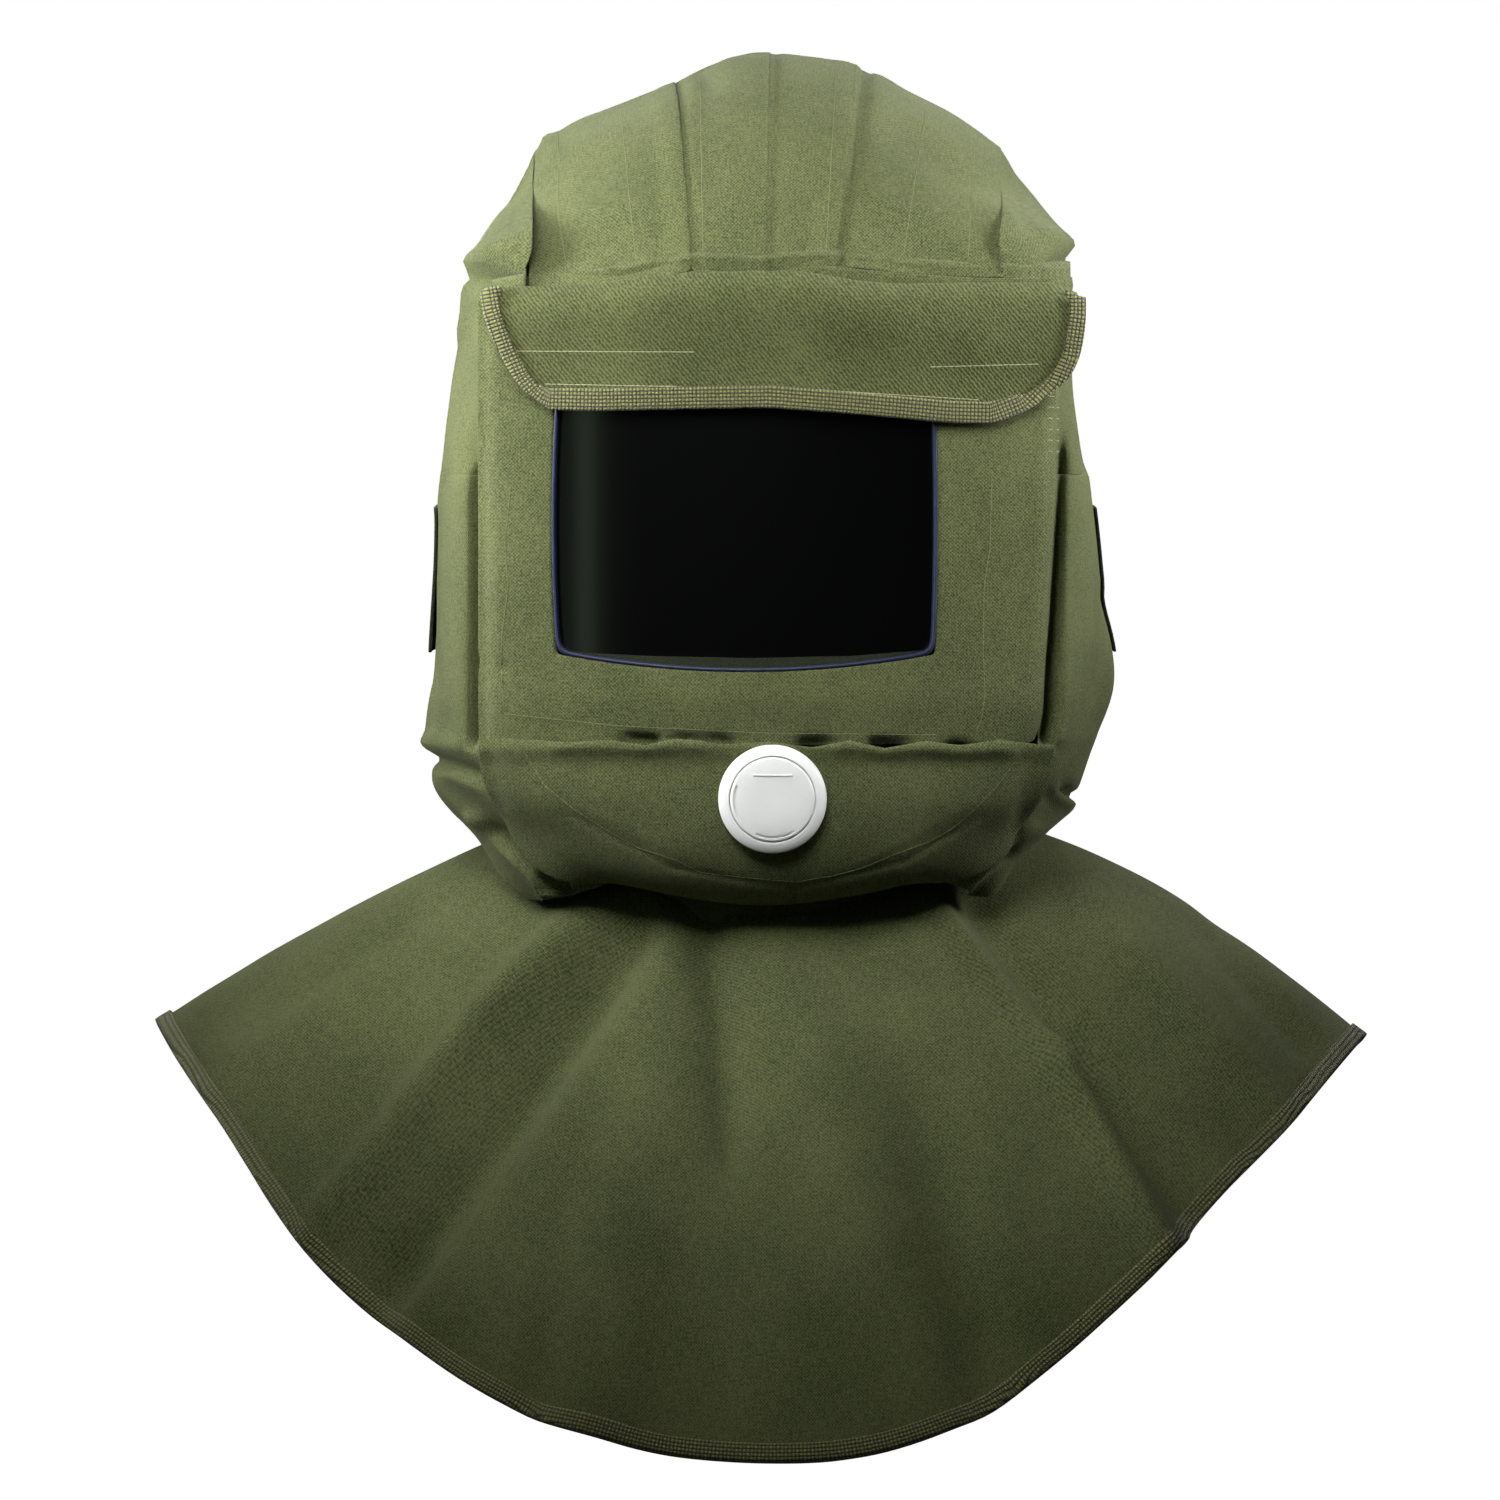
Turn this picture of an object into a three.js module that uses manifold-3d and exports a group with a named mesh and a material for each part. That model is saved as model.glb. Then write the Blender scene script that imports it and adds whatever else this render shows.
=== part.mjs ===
// A canvas hood with a dark window, a front flap, a breathing valve and a shoulder cape.
// Millimetres, +Z up, the face looks along -Y, the origin is inside the top of the crown.

import * as THREE from 'three';
import { mergeVertices } from 'three/addons/utils/BufferGeometryUtils.js';
import Module from 'manifold-3d';

// Main sizes
const headHeight = 369;
const headHalfWidth = 148;
const headHalfDepth = 145;
const crownTop = 1.8;
const crownHalfWidth = 99;
const tuckStep = 1.4;

// Where things lie below the crown, as shares of the head height
const browShare = 0.236;
const windowTopShare = 0.3795;
const seamShare = 0.48;
const earFlapShare = 0.523;
const faceBottomShare = 0.783;
const jawShare = 0.802;
const valveShare = 0.843;
const browDrop = headHeight * browShare;
const windowTopDrop = headHeight * windowTopShare;
const seamDrop = headHeight * seamShare;
const earFlapDrop = headHeight * earFlapShare;
const faceBottomDrop = headHeight * faceBottomShare;
const valveDrop = headHeight * valveShare;

// Cloth and clearances
const canvasWall = 1.6;
const capeWall = 1.6;
const flapWall = 2;
const tapeWall = 0.9;
const tapeWidth = 6.2;
const tapeStand = 0.75;
const seat = 0.3;
const seamGap = 0.9;
const layerStand = 1;
const foldHeight = 8;
const crownBlend = 15;
const seamBlend = 20;
const browBlend = 6;

// Face panel and window
const faceDepth = 140;
const faceSag = 26;
const faceHalfWidth = 120;
const faceWall = 3;
const faceTuck = 4;
const windowWidth = 158;
const windowHeight = 111;
const windowShift = -8.3;
const windowBulge = 7;
const trimWidth = 1.3;
const lensMargin = 10;
const lensWall = 2.2;

// Window flap
const flapWidth = 236;
const flapHeight = 55;
const flapShift = 3;
const flapRoll = 6;

// Brow roll
const browRollHeight = 13;
const browRollWall = 3.2;

// Chin and valve
const chinBulge = 4;
const chinOverlap = 4;
const valveRadius = 22.8;
const valveRimWidth = 4.6;
const valveBaseWall = 2;
const valveRimHeight = 5;
const valveSpigotRadius = 14;
const valveSpigotWall = 2;
const valveSpigotReach = 3;
const valveCapHeight = 4;
const valveCapChamfer = 0.8;
const valveBarWidth = 1;
const valveShift = 3;
const valveNutRadius = 19;
const valveNutHeight = 3;
const valveClearance = 0.4;

// Ear flaps
const earFlapWidth = 66;
const earFlapHeight = 62;
const earFlapLift = 1.2;

// Neck and cape
const neckHalfWidth = 92;
const neckFront = 88;
const neckBack = 100;
const neckBandHeight = 15;
const neckBandRise = 3;
const capeSeamDrop = 8;
const capeReach = 260;
const capeDrop = 223;
const capeFold = 9;

// Mesh fineness
const capeColumns = 76;
const valveSides = 24;

const degree = Math.PI / 180;
const quarter = Math.PI / 2;

// A table is a list of column names and rows of numbers, read as rows with named columns.
function table(names, rows) {
  return rows.map((row) => Object.fromEntries(names.map((name, i) => [name, row[i]])));
}

// Crown to neck: how far down each section lies at the front, the side and the back, as shares
// of the head height, and how far it reaches, as shares of the half width and half depth.
const headSections = table(
  ['front', 'side', 'back', 'left', 'right', 'ahead', 'behind', 'square'],
  [
    [0.000, 0.000, 0.000, 0.010, 0.010, 0.010, 0.010, 2.0],
    [0.006, 0.006, 0.006, 0.165, 0.240, 0.260, 0.280, 2.0],
    [0.036, 0.036, 0.036, 0.290, 0.390, 0.460, 0.500, 2.1],
    [0.071, 0.071, 0.071, 0.525, 0.560, 0.620, 0.670, 2.2],
    [0.091, 0.091, 0.091, 0.628, 0.650, 0.690, 0.740, 2.2],
    [0.115, 0.115, 0.115, 0.672, 0.698, 0.750, 0.800, 2.3],
    [0.168, 0.168, 0.168, 0.742, 0.790, 0.850, 0.890, 2.4],
    [0.236, 0.236, 0.236, 0.848, 0.893, 0.930, 0.965, 2.5],
    [0.369, 0.369, 0.369, 0.905, 0.888, 0.957, 1.000, 2.5],
    [0.480, 0.480, 0.480, 0.936, 0.922, 0.966, 1.000, 2.5],
    [0.610, 0.610, 0.610, 0.960, 0.966, 0.966, 0.980, 2.5],
    [0.728, 0.728, 0.728, 0.958, 1.006, 0.966, 0.945, 2.5],
    [0.802, 0.802, 0.790, 0.970, 0.940, 0.972, 0.900, 2.4],
    [0.885, 0.872, 0.815, 0.915, 0.898, 0.955, 0.835, 2.3],
    [0.945, 0.896, 0.830, 0.820, 0.810, 0.850, 0.760, 2.2],
    [0.968, 0.866, 0.838, 0.690, 0.690, 0.690, 0.715, 2.1],
  ],
);
const browLevel = headSections.findIndex((row) => row.side === browShare);
const jawLevel = headSections.findIndex((row) => row.side === jawShare);
const neckLevel = headSections.length - 1;

// Folds of the head canvas: the middle of each as a turn in degrees and a share of the head
// height, its spread the same way, and its height as a share of the fold height.
const headFolds = table(
  ['turn', 'drop', 'turnSpread', 'dropSpread', 'height'],
  [
    [-57, 0.62, 5.5, 0.17, -0.75],
    [57, 0.60, 5.5, 0.20, -0.85],
    [-74, 0.78, 9.0, 0.05, 0.50],
    [72, 0.70, 10.0, 0.06, 0.45],
    [-98, 0.66, 8.0, 0.14, -0.40],
    [104, 0.55, 9.0, 0.16, -0.40],
    [-60, 0.22, 9.0, 0.03, 0.20],
    [62, 0.20, 9.0, 0.03, 0.15],
    [-130, 0.76, 12.0, 0.06, 0.35],
    [128, 0.74, 12.0, 0.06, 0.35],
    [178, 0.70, 10.0, 0.12, -0.35],
  ],
);

// Loose points that hang below the neck seam, as turn, spread and length in the same terms.
const droops = table(
  ['turn', 'spread', 'length'],
  [
    [-57, 8, 0.070],
    [-45, 6, 0.045],
    [50, 9, 0.065],
    [-120, 14, 0.020],
    [124, 14, 0.020],
  ],
);

// Hem of the cape by turn from the front: reach as a share of the cape's reach, drop below the
// neck as a share of the cape's drop, and how far the cloth bows up between neck and hem.
const capeHem = table(
  ['turn', 'reach', 'drop', 'bow'],
  [
    [-180, 0.880, 0.860, 0.04],
    [-150, 0.915, 0.760, 0.04],
    [-120, 0.965, 0.450, 0.03],
    [-92, 1.005, 0.208, 0.01],
    [-75, 0.965, 0.302, 0.02],
    [-60, 0.930, 0.472, 0.02],
    [-45, 0.905, 0.700, 0.03],
    [-30, 0.880, 0.842, 0.04],
    [-15, 0.850, 0.928, 0.04],
    [0, 0.835, 0.957, 0.04],
    [15, 0.850, 0.924, 0.04],
    [30, 0.875, 0.800, 0.04],
    [44, 0.890, 0.610, 0.03],
    [60, 0.915, 0.450, 0.03],
    [75, 0.945, 0.300, 0.04],
    [91, 0.990, 0.236, 0.05],
    [120, 0.950, 0.440, 0.03],
    [150, 0.905, 0.760, 0.04],
  ],
);

// Folds that run down the cape and grow towards the hem.
const capeFolds = table(
  ['turn', 'spread', 'height'],
  [
    [-54, 9, 0.95],
    [-41, 8, -0.80],
    [-8, 8, -0.60],
    [19, 11, 0.55],
    [45, 8, 1.05],
    [58, 8, -1.15],
    [-128, 10, 0.70],
    [-152, 9, -0.60],
    [128, 10, 0.75],
    [155, 9, -0.60],
    [180, 10, 0.55],
  ],
);

// Side edges of the flap from its fold down, as shares of its half width.
const flapEdges = table(
  ['down', 'left', 'right'],
  [
    [0.00, 1.000, 1.060],
    [0.45, 0.950, 1.050],
    [0.75, 0.900, 1.020],
    [0.92, 0.855, 0.955],
    [1.00, 0.800, 0.880],
  ],
);

// Gores of the crown: each seam's place across the crown at the brow, the top and the back.
const crownSeams = table(
  ['brow', 'top', 'back'],
  [
    [-1.00, -1.00, -1.00],
    [-0.31, -0.40, -0.36],
    [0.00, 0.02, 0.00],
    [0.30, 0.40, 0.36],
    [1.02, 1.02, 1.02],
  ],
);

const mix = (a, b, share) => a + (b - a) * share;
const clamp = (value, low, high) => Math.min(high, Math.max(low, value));
const bell = (distance, spread) => Math.exp(-((distance / spread) ** 2));
const smooth = (share) => share * share * (3 - 2 * share);

function turnBetween(a, b) {
  return ((((a - b) % 360) + 540) % 360) - 180;
}

function curveThrough(before, start, end, after, share) {
  const s2 = share * share;
  const s3 = s2 * share;
  const bend = (2 * before - 5 * start + 4 * end - after) * s2;
  const twist = (-before + 3 * start - 3 * end + after) * s3;
  return (2 * start + (end - before) * share + bend + twist) / 2;
}

// Reads one column of a table between its rows on a smooth curve.
function readAt(rows, column, at) {
  const last = rows.length - 1;
  const index = clamp(Math.floor(at), 0, last - 1);
  const pick = (i) => rows[clamp(i, 0, last)][column];
  return curveThrough(pick(index - 1), pick(index), pick(index + 1), pick(index + 2), at - index);
}

// The same for a table that runs once round, at any turn in degrees.
function readRound(rows, column, turn) {
  const count = rows.length;
  const wanted = rows[0].turn + ((((turn - rows[0].turn) % 360) + 360) % 360);
  let index = count - 1;
  while (rows[index].turn > wanted) index -= 1;
  const start = rows[index].turn;
  const end = index + 1 < count ? rows[index + 1].turn : rows[0].turn + 360;
  const pick = (i) => rows[(i + count) % count][column];
  const share = (wanted - start) / (end - start);
  return curveThrough(pick(index - 1), pick(index), pick(index + 1), pick(index + 2), share);
}

function solve(test, low, high) {
  let a = low;
  let b = high;
  for (let step = 0; step < 26; step += 1) {
    const middle = (a + b) / 2;
    if (test(middle)) b = middle;
    else a = middle;
  }
  return (a + b) / 2;
}

// Face cylinder
const faceY = (x) => -faceDepth + faceSag * (x / faceHalfWidth) ** 2;

function facePoint(x, z, lift) {
  const slope = (2 * faceSag * x) / faceHalfWidth ** 2;
  const length = Math.hypot(1, slope);
  return new THREE.Vector3(x + (slope / length) * lift, faceY(x) - lift / length, z);
}

// Head surface: sections through the table, rounder or squarer so that each side meets the face.
const tuckHalfWidth = faceHalfWidth - faceTuck;
const headTurnAtTuck = Math.atan2(tuckHalfWidth, -faceY(tuckHalfWidth));

function sectionReach(level, turn) {
  const side = Math.sin(turn);
  const ahead = Math.cos(turn);
  const width = headHalfWidth * readAt(headSections, side < 0 ? 'left' : 'right', level);
  const depth = headHalfDepth * readAt(headSections, ahead > 0 ? 'ahead' : 'behind', level);
  const plain = readAt(headSections, 'square', level);
  const besideFace = Math.min(level - browLevel + 1, jawLevel + 1 - level);
  const reachWith = (square) =>
    ((Math.abs(side) / width) ** square + (Math.abs(ahead) / depth) ** square) ** (-1 / square);
  if (ahead <= 0 || besideFace <= 0) return reachWith(plain);
  const depthAtTuck = -faceY(tuckHalfWidth);
  const staysInside = (square) =>
    (tuckHalfWidth / width) ** square + (depthAtTuck / depth) ** square < 1;
  const square = tuckHalfWidth < width ? solve(staysInside, 1.5, 12) : plain;
  const share = smooth(clamp(besideFace, 0, 1));
  return Math.min(reachWith(mix(plain, square, share)), faceReach(turn));
}

// How far the face cylinder is from the middle of the head at a turn
function faceReach(turn) {
  const bend = (faceSag * Math.sin(turn) ** 2) / faceHalfWidth ** 2;
  const ahead = Math.cos(turn);
  if (bend < 1e-9) return faceDepth;
  return (Math.sqrt(ahead * ahead + 4 * bend * faceDepth) - ahead) / (2 * bend);
}

function headDrop(level, turn) {
  const ahead = Math.cos(turn);
  const side = readAt(headSections, 'side', level);
  const end = readAt(headSections, ahead > 0 ? 'front' : 'back', level);
  let drop = mix(side, end, ahead * ahead);
  const hang = Math.max(0, 1 - Math.abs(level - (neckLevel - 1.1)) / 1.1);
  for (const droop of droops) {
    const near = bell(turnBetween(turn / degree, droop.turn), droop.spread);
    drop += droop.length * smooth(hang) * near;
  }
  return drop * headHeight;
}

function headRelief(turn, drop) {
  let height = 0;
  for (const fold of headFolds) {
    const across = bell(turnBetween(turn / degree, fold.turn), fold.turnSpread);
    height += fold.height * across * bell(drop / headHeight - fold.drop, fold.dropSpread);
  }
  return height * foldHeight;
}

function neckReach(turn) {
  const ahead = Math.cos(turn);
  return 1 / Math.hypot(Math.sin(turn) / neckHalfWidth, ahead / (ahead > 0 ? neckFront : neckBack));
}

function headPoint(turn, level) {
  const drop = headDrop(level, turn);
  const intoNeck = clamp(level - neckLevel + 1, 0, 1) ** 2;
  const reach = mix(sectionReach(level, turn), neckReach(turn) + seat, intoNeck);
  const offFace = smooth(clamp((Math.abs(turn) - headTurnAtTuck) / (12 * degree), 0, 1));
  const besideCrown = (Math.abs(reach * Math.sin(turn)) - crownHalfWidth * 1.04) / crownBlend;
  const offCrown = smooth(clamp(Math.max(besideCrown, (drop - seamDrop) / seamBlend), 0, 1));
  const offNeck = smooth(clamp(neckLevel - level, 0, 1));
  const relief = headRelief(turn, drop) * offFace * offCrown * offNeck;
  const out = reach + relief;
  return new THREE.Vector3(out * Math.sin(turn), -out * Math.cos(turn), crownTop - drop);
}

function levelAtDrop(drop) {
  return solve((level) => readAt(headSections, 'side', level) * headHeight > drop, 0, jawLevel);
}

function turnAtX(level, x, behind) {
  const towards = Math.sign(x);
  const reachesX = (angle) => sectionReach(level, towards * (behind ? Math.PI - angle : angle));
  const angle = solve((a) => reachesX(a) * Math.sin(a) > Math.abs(x), 0, quarter);
  return towards * (behind ? Math.PI - angle : angle);
}

// Crown strip: a point at a place across and an angle from the brow over the top to the back.
function crownPoint(x, angle) {
  const centreDrop = seamDrop * 0.72;
  const isOutside = (radius) => {
    const y = -radius * Math.cos(angle);
    const drop = centreDrop - radius * Math.sin(angle);
    if (drop <= 0) return true;
    const reach = sectionReach(levelAtDrop(drop), Math.atan2(x, -y));
    return Math.hypot(x, y) > reach;
  };
  const radius = solve(isOutside, 0, headHalfDepth * 1.5);
  const drop = centreDrop - radius * Math.sin(angle);
  return new THREE.Vector3(x, -radius * Math.cos(angle), crownTop - drop);
}

function crownAngleAtDrop(x, drop, behind) {
  const towards = behind ? Math.PI : 0;
  const low = -quarter * 0.8;
  const isAbove = (angle) => {
    const point = crownPoint(x, behind ? towards - angle : angle);
    return crownTop - point.z < drop;
  };
  const angle = solve(isAbove, low, quarter);
  return behind ? towards - angle : angle;
}

// Cloth solids
function surfaceNormal(surface, u, v) {
  const step = 0.004;
  const across = surface(u + step, v).sub(surface(u - step, v));
  const down = surface(u, v + step).sub(surface(u, v - step));
  return down.cross(across).normalize();
}

function pullIn(grid, i, j, towardsI, towardsJ, distance) {
  const inward = grid[towardsI][towardsJ].point.clone().sub(grid[i][j].point);
  const length = inward.length();
  if (length > distance) grid[i][j].point.addScaledVector(inward, distance / length);
}

// A cloth piece over a surface of u and v, from 0 to 1 each, between two lifts above it.
// The edges named in gaps are pulled in to leave a seam's clearance.
function clothGrid(surface, columns, rows, closed, gaps) {
  const grid = [];
  for (let i = 0; i <= columns - (closed ? 1 : 0); i += 1) {
    const line = [];
    for (let j = 0; j <= rows; j += 1) {
      const u = i / columns;
      const v = j / rows;
      line.push({ point: surface(u, v), normal: surfaceNormal(surface, u, v), u, v });
    }
    grid.push(line);
  }
  const last = grid.length - 1;
  for (let i = 0; i <= last; i += 1) {
    if (gaps.top) pullIn(grid, i, 0, i, 1, gaps.top);
    if (gaps.bottom) pullIn(grid, i, rows, i, rows - 1, gaps.bottom);
  }
  for (let j = 0; j <= rows; j += 1) {
    if (gaps.left) pullIn(grid, 0, j, 1, j, gaps.left);
    if (gaps.right) pullIn(grid, last, j, last - 1, j, gaps.right);
  }
  return grid;
}

// Stands the walls of a piece's side edges upright, so that neighbours meet on one plane.
function squareSideEdges(grid) {
  for (const line of [grid[0], grid[grid.length - 1]]) {
    for (const knot of line) knot.normal.setX(0).normalize();
  }
}

function meshFromTriangles(positions, triangles) {
  const geometry = new THREE.BufferGeometry();
  geometry.setAttribute('position', new THREE.Float32BufferAttribute(positions, 3));
  geometry.setIndex(triangles);
  return mergeVertices(geometry, 1e-4);
}

function clothSolid(grid, closed, under, over) {
  const positions = [];
  const triangles = [];
  const lines = grid.length;
  const perLine = grid[0].length;
  const valueAt = (lift, knot) => (typeof lift === 'function' ? lift(knot.u, knot.v) : lift);
  for (const lift of [over, under]) {
    for (const line of grid) {
      for (const knot of line) {
        const point = knot.point.clone().addScaledVector(knot.normal, valueAt(lift, knot));
        positions.push(point.x, point.y, point.z);
      }
    }
  }
  const at = (layer, i, j) => layer * lines * perLine + (i % lines) * perLine + j;
  const quad = (a, b, c, d) => {
    triangles.push(a, b, c, a, c, d);
  };
  const spans = closed ? lines : lines - 1;
  for (let i = 0; i < spans; i += 1) {
    for (let j = 0; j < perLine - 1; j += 1) {
      quad(at(0, i, j), at(0, i, j + 1), at(0, i + 1, j + 1), at(0, i + 1, j));
      quad(at(1, i, j), at(1, i + 1, j), at(1, i + 1, j + 1), at(1, i, j + 1));
    }
    quad(at(0, i, 0), at(0, i + 1, 0), at(1, i + 1, 0), at(1, i, 0));
    const end = perLine - 1;
    quad(at(0, i, end), at(1, i, end), at(1, i + 1, end), at(0, i + 1, end));
  }
  if (!closed) {
    for (let j = 0; j < perLine - 1; j += 1) {
      quad(at(0, 0, j), at(1, 0, j), at(1, 0, j + 1), at(0, 0, j + 1));
      quad(at(0, spans, j), at(0, spans, j + 1), at(1, spans, j + 1), at(1, spans, j));
    }
  }
  return dropFlatTriangles(meshFromTriangles(positions, triangles));
}

function dropFlatTriangles(geometry) {
  const index = geometry.getIndex().array;
  const kept = [];
  for (let i = 0; i < index.length; i += 3) {
    const [a, b, c] = [index[i], index[i + 1], index[i + 2]];
    if (a !== b && b !== c && c !== a) kept.push(a, b, c);
  }
  geometry.setIndex(kept);
  return geometry;
}

// A band of one cross section swept along a list of frames, each with a point and two axes.
function sweep(frames, section, closed) {
  const positions = [];
  const triangles = [];
  const sides = section.length;
  const count = frames.length;
  for (const frame of frames) {
    for (const [inward, outward] of section) {
      const point = frame.point.clone();
      point.addScaledVector(frame.inward, inward).addScaledVector(frame.outward, outward);
      positions.push(point.x, point.y, point.z);
    }
  }
  const spans = closed ? count : count - 1;
  for (let i = 0; i < spans; i += 1) {
    for (let k = 0; k < sides; k += 1) {
      const a = i * sides + k;
      const b = i * sides + ((k + 1) % sides);
      const c = ((i + 1) % count) * sides + ((k + 1) % sides);
      const d = ((i + 1) % count) * sides + k;
      triangles.push(a, b, c, a, c, d);
    }
  }
  if (!closed) {
    const outline = section.map(([x, y]) => new THREE.Vector2(x, y));
    const start = (count - 1) * sides;
    for (const [a, b, c] of THREE.ShapeUtils.triangulateShape(outline, [])) {
      triangles.push(c, b, a, start + a, start + b, start + c);
    }
  }
  return facingOut(meshFromTriangles(positions, triangles));
}

function signedVolume(geometry) {
  const index = geometry.getIndex().array;
  const position = geometry.getAttribute('position');
  const corners = [new THREE.Vector3(), new THREE.Vector3(), new THREE.Vector3()];
  let volume = 0;
  for (let i = 0; i < index.length; i += 3) {
    corners.forEach((corner, k) => corner.fromBufferAttribute(position, index[i + k]));
    volume += corners[0].dot(corners[1].clone().cross(corners[2])) / 6;
  }
  return volume;
}

function facingOut(geometry) {
  if (signedVolume(geometry) > 0) return geometry;
  const index = Array.from(geometry.getIndex().array);
  for (let i = 0; i < index.length; i += 3) {
    [index[i + 1], index[i + 2]] = [index[i + 2], index[i + 1]];
  }
  geometry.setIndex(index);
  return geometry;
}

// The axes of a tape at a knot of a cloth's edge: along it, out of the cloth and into the cloth.
function edgeFrame(knot, before, after) {
  const along = after.clone().sub(before).normalize();
  const outward = knot.normal.clone();
  outward.addScaledVector(along, -outward.dot(along)).normalize();
  const inward = outward.clone().cross(along);
  return { point: knot.point.clone(), outward, inward };
}

// Tape folded over an edge, as the section of a channel open towards the cloth.
function channel(wall, width) {
  const inside = wall / 2 + tapeStand;
  const outside = inside + tapeWall;
  return [
    [width, outside],
    [-tapeStand - tapeWall, outside],
    [-tapeStand - tapeWall, -outside],
    [width, -outside],
    [width, -inside],
    [-tapeStand, -inside],
    [-tapeStand, inside],
    [width, inside],
  ];
}

// Booleans
const wasm = await Module();
wasm.setup();

function toManifold(geometry) {
  const bare = geometry.clone();
  bare.deleteAttribute('normal');
  bare.deleteAttribute('uv');
  const merged = mergeVertices(bare, 1e-4);
  return new wasm.Manifold(
    new wasm.Mesh({
      numProp: 3,
      vertProperties: new Float32Array(merged.getAttribute('position').array),
      triVerts: new Uint32Array(merged.getIndex().array),
    }),
  );
}

function fromManifold(solid) {
  const mesh = solid.getMesh();
  return meshFromTriangles(Array.from(mesh.vertProperties), Array.from(mesh.triVerts));
}

// Materials
const canvas = new THREE.MeshStandardMaterial({ color: 0x6b7447, roughness: 0.93, metalness: 0 });
const twill = new THREE.MeshStandardMaterial({ color: 0x6f7a4a, roughness: 0.9, metalness: 0 });
const tape = new THREE.MeshStandardMaterial({ color: 0x6a6a30, roughness: 0.8, metalness: 0 });
const darkCloth = new THREE.MeshStandardMaterial({ color: 0x333b26, roughness: 0.93, metalness: 0 });
const navy = new THREE.MeshStandardMaterial({ color: 0x1b2133, roughness: 0.5, metalness: 0 });
const darkPlastic = new THREE.MeshStandardMaterial({ color: 0x101111, roughness: 0.12, metalness: 0 });
const white = new THREE.MeshStandardMaterial({ color: 0xe6e6e3, roughness: 0.35, metalness: 0 });

const hood = new THREE.Group();

function add(name, geometry, material, parent = hood) {
  const mesh = new THREE.Mesh(geometry, material);
  mesh.name = name;
  parent.add(mesh);
}

const halfGap = seamGap / 2;

// Crown gores, each a little under its outer neighbour where their tuck is folded
function crownGore(leftSeam, rightSeam, step) {
  const seamAt = (seam, v) => {
    const fromTop = 2 * v - 1;
    const end = fromTop > 0 ? seam.brow : seam.back;
    return crownHalfWidth * mix(seam.top, end, fromTop * fromTop);
  };
  const ends = new Map();
  const surface = (u, v) => {
    const x = mix(seamAt(leftSeam, clamp(v, 0, 1)), seamAt(rightSeam, clamp(v, 0, 1)), u);
    const key = x.toFixed(3);
    if (!ends.has(key)) {
      ends.set(key, [crownAngleAtDrop(x, seamDrop, true), crownAngleAtDrop(x, browDrop, false)]);
    }
    const [back, brow] = ends.get(key);
    return crownPoint(x, mix(back, brow, v));
  };
  const grid = clothGrid(surface, 4, 15, false, {
    top: halfGap,
    bottom: halfGap,
    left: halfGap,
    right: halfGap,
  });
  squareSideEdges(grid);
  const fold = (u) => (step < 0 ? 1 - u : u) ** 2 * Math.abs(step);
  return clothSolid(grid, false, -canvasWall, (u, v) => fold(u) * Math.sin(Math.PI * clamp(v, 0, 1)));
}

add('crown_gore_left_outer', crownGore(crownSeams[0], crownSeams[1], tuckStep), canvas);
add('crown_gore_left_inner', crownGore(crownSeams[1], crownSeams[2], tuckStep), canvas);
add('crown_gore_right_inner', crownGore(crownSeams[2], crownSeams[3], -tuckStep), canvas);
add('crown_gore_right_outer', crownGore(crownSeams[3], crownSeams[4], -tuckStep), canvas);

// Side panels above the level seam, from the apex of the crown's edge down
const crownEdgeX = (side) => crownHalfWidth * (side < 0 ? crownSeams[0].top : crownSeams[4].top);

function upperEdges(side, level) {
  const drop = readAt(headSections, 'side', level) * headHeight;
  const toFace = smooth(clamp((drop - browDrop) / browBlend + 0.33, 0, 1));
  const frontX = mix(Math.abs(crownEdgeX(side)), tuckHalfWidth, toFace);
  return {
    front: turnAtX(level, side * frontX, false),
    back: turnAtX(level, crownEdgeX(side), true),
  };
}

function upperSide(side) {
  const edgeX = Math.abs(crownEdgeX(side));
  const widthName = side < 0 ? 'left' : 'right';
  const apexLevel = solve(
    (level) => headHalfWidth * readAt(headSections, widthName, level) > edgeX + halfGap,
    1,
    browLevel,
  );
  const lowest = levelAtDrop(seamDrop);
  const surface = (u, v) => {
    const level = mix(apexLevel, lowest, clamp(v, 0, 1.1) ** 1.5) + 1e-6;
    const edges = upperEdges(side, level);
    const turn = side < 0 ? mix(edges.back, edges.front, u) : mix(edges.front, edges.back, u);
    return headPoint(turn, level);
  };
  const grid = clothGrid(surface, 10, 8, false, {
    bottom: halfGap,
    left: halfGap,
    right: halfGap,
  });
  const apex = surfaceNormal((u, v) => headPoint(side * quarter + u, apexLevel + v), 0, 0);
  for (const line of grid) line[0].normal.copy(apex).setX(0).normalize();
  squareSideEdges(grid);
  return clothSolid(grid, false, -canvasWall, 0);
}

add('side_upper_left', upperSide(-1), canvas);
add('side_upper_right', upperSide(1), canvas);

// Side panels below the level seam, and the back between them
function lowerFrontTurn(side, level) {
  const width = headHalfWidth * readAt(headSections, side < 0 ? 'left' : 'right', level);
  const underJaw = smooth(clamp((level - jawLevel) / (neckLevel - jawLevel), 0, 1));
  return turnAtX(level, side * mix(tuckHalfWidth, 0.5 * width, underJaw), false);
}

function lowerBackTurn(side, level) {
  const width = headHalfWidth * readAt(headSections, side < 0 ? 'left' : 'right', level);
  const edge = Math.min(Math.abs(crownEdgeX(side)), width * 0.72);
  return turnAtX(level, side * edge, true);
}

const seamLevelExact = levelAtDrop(seamDrop);
const lowerLevel = (v) => mix(seamLevelExact, neckLevel, clamp(v, 0, 1));

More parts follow.
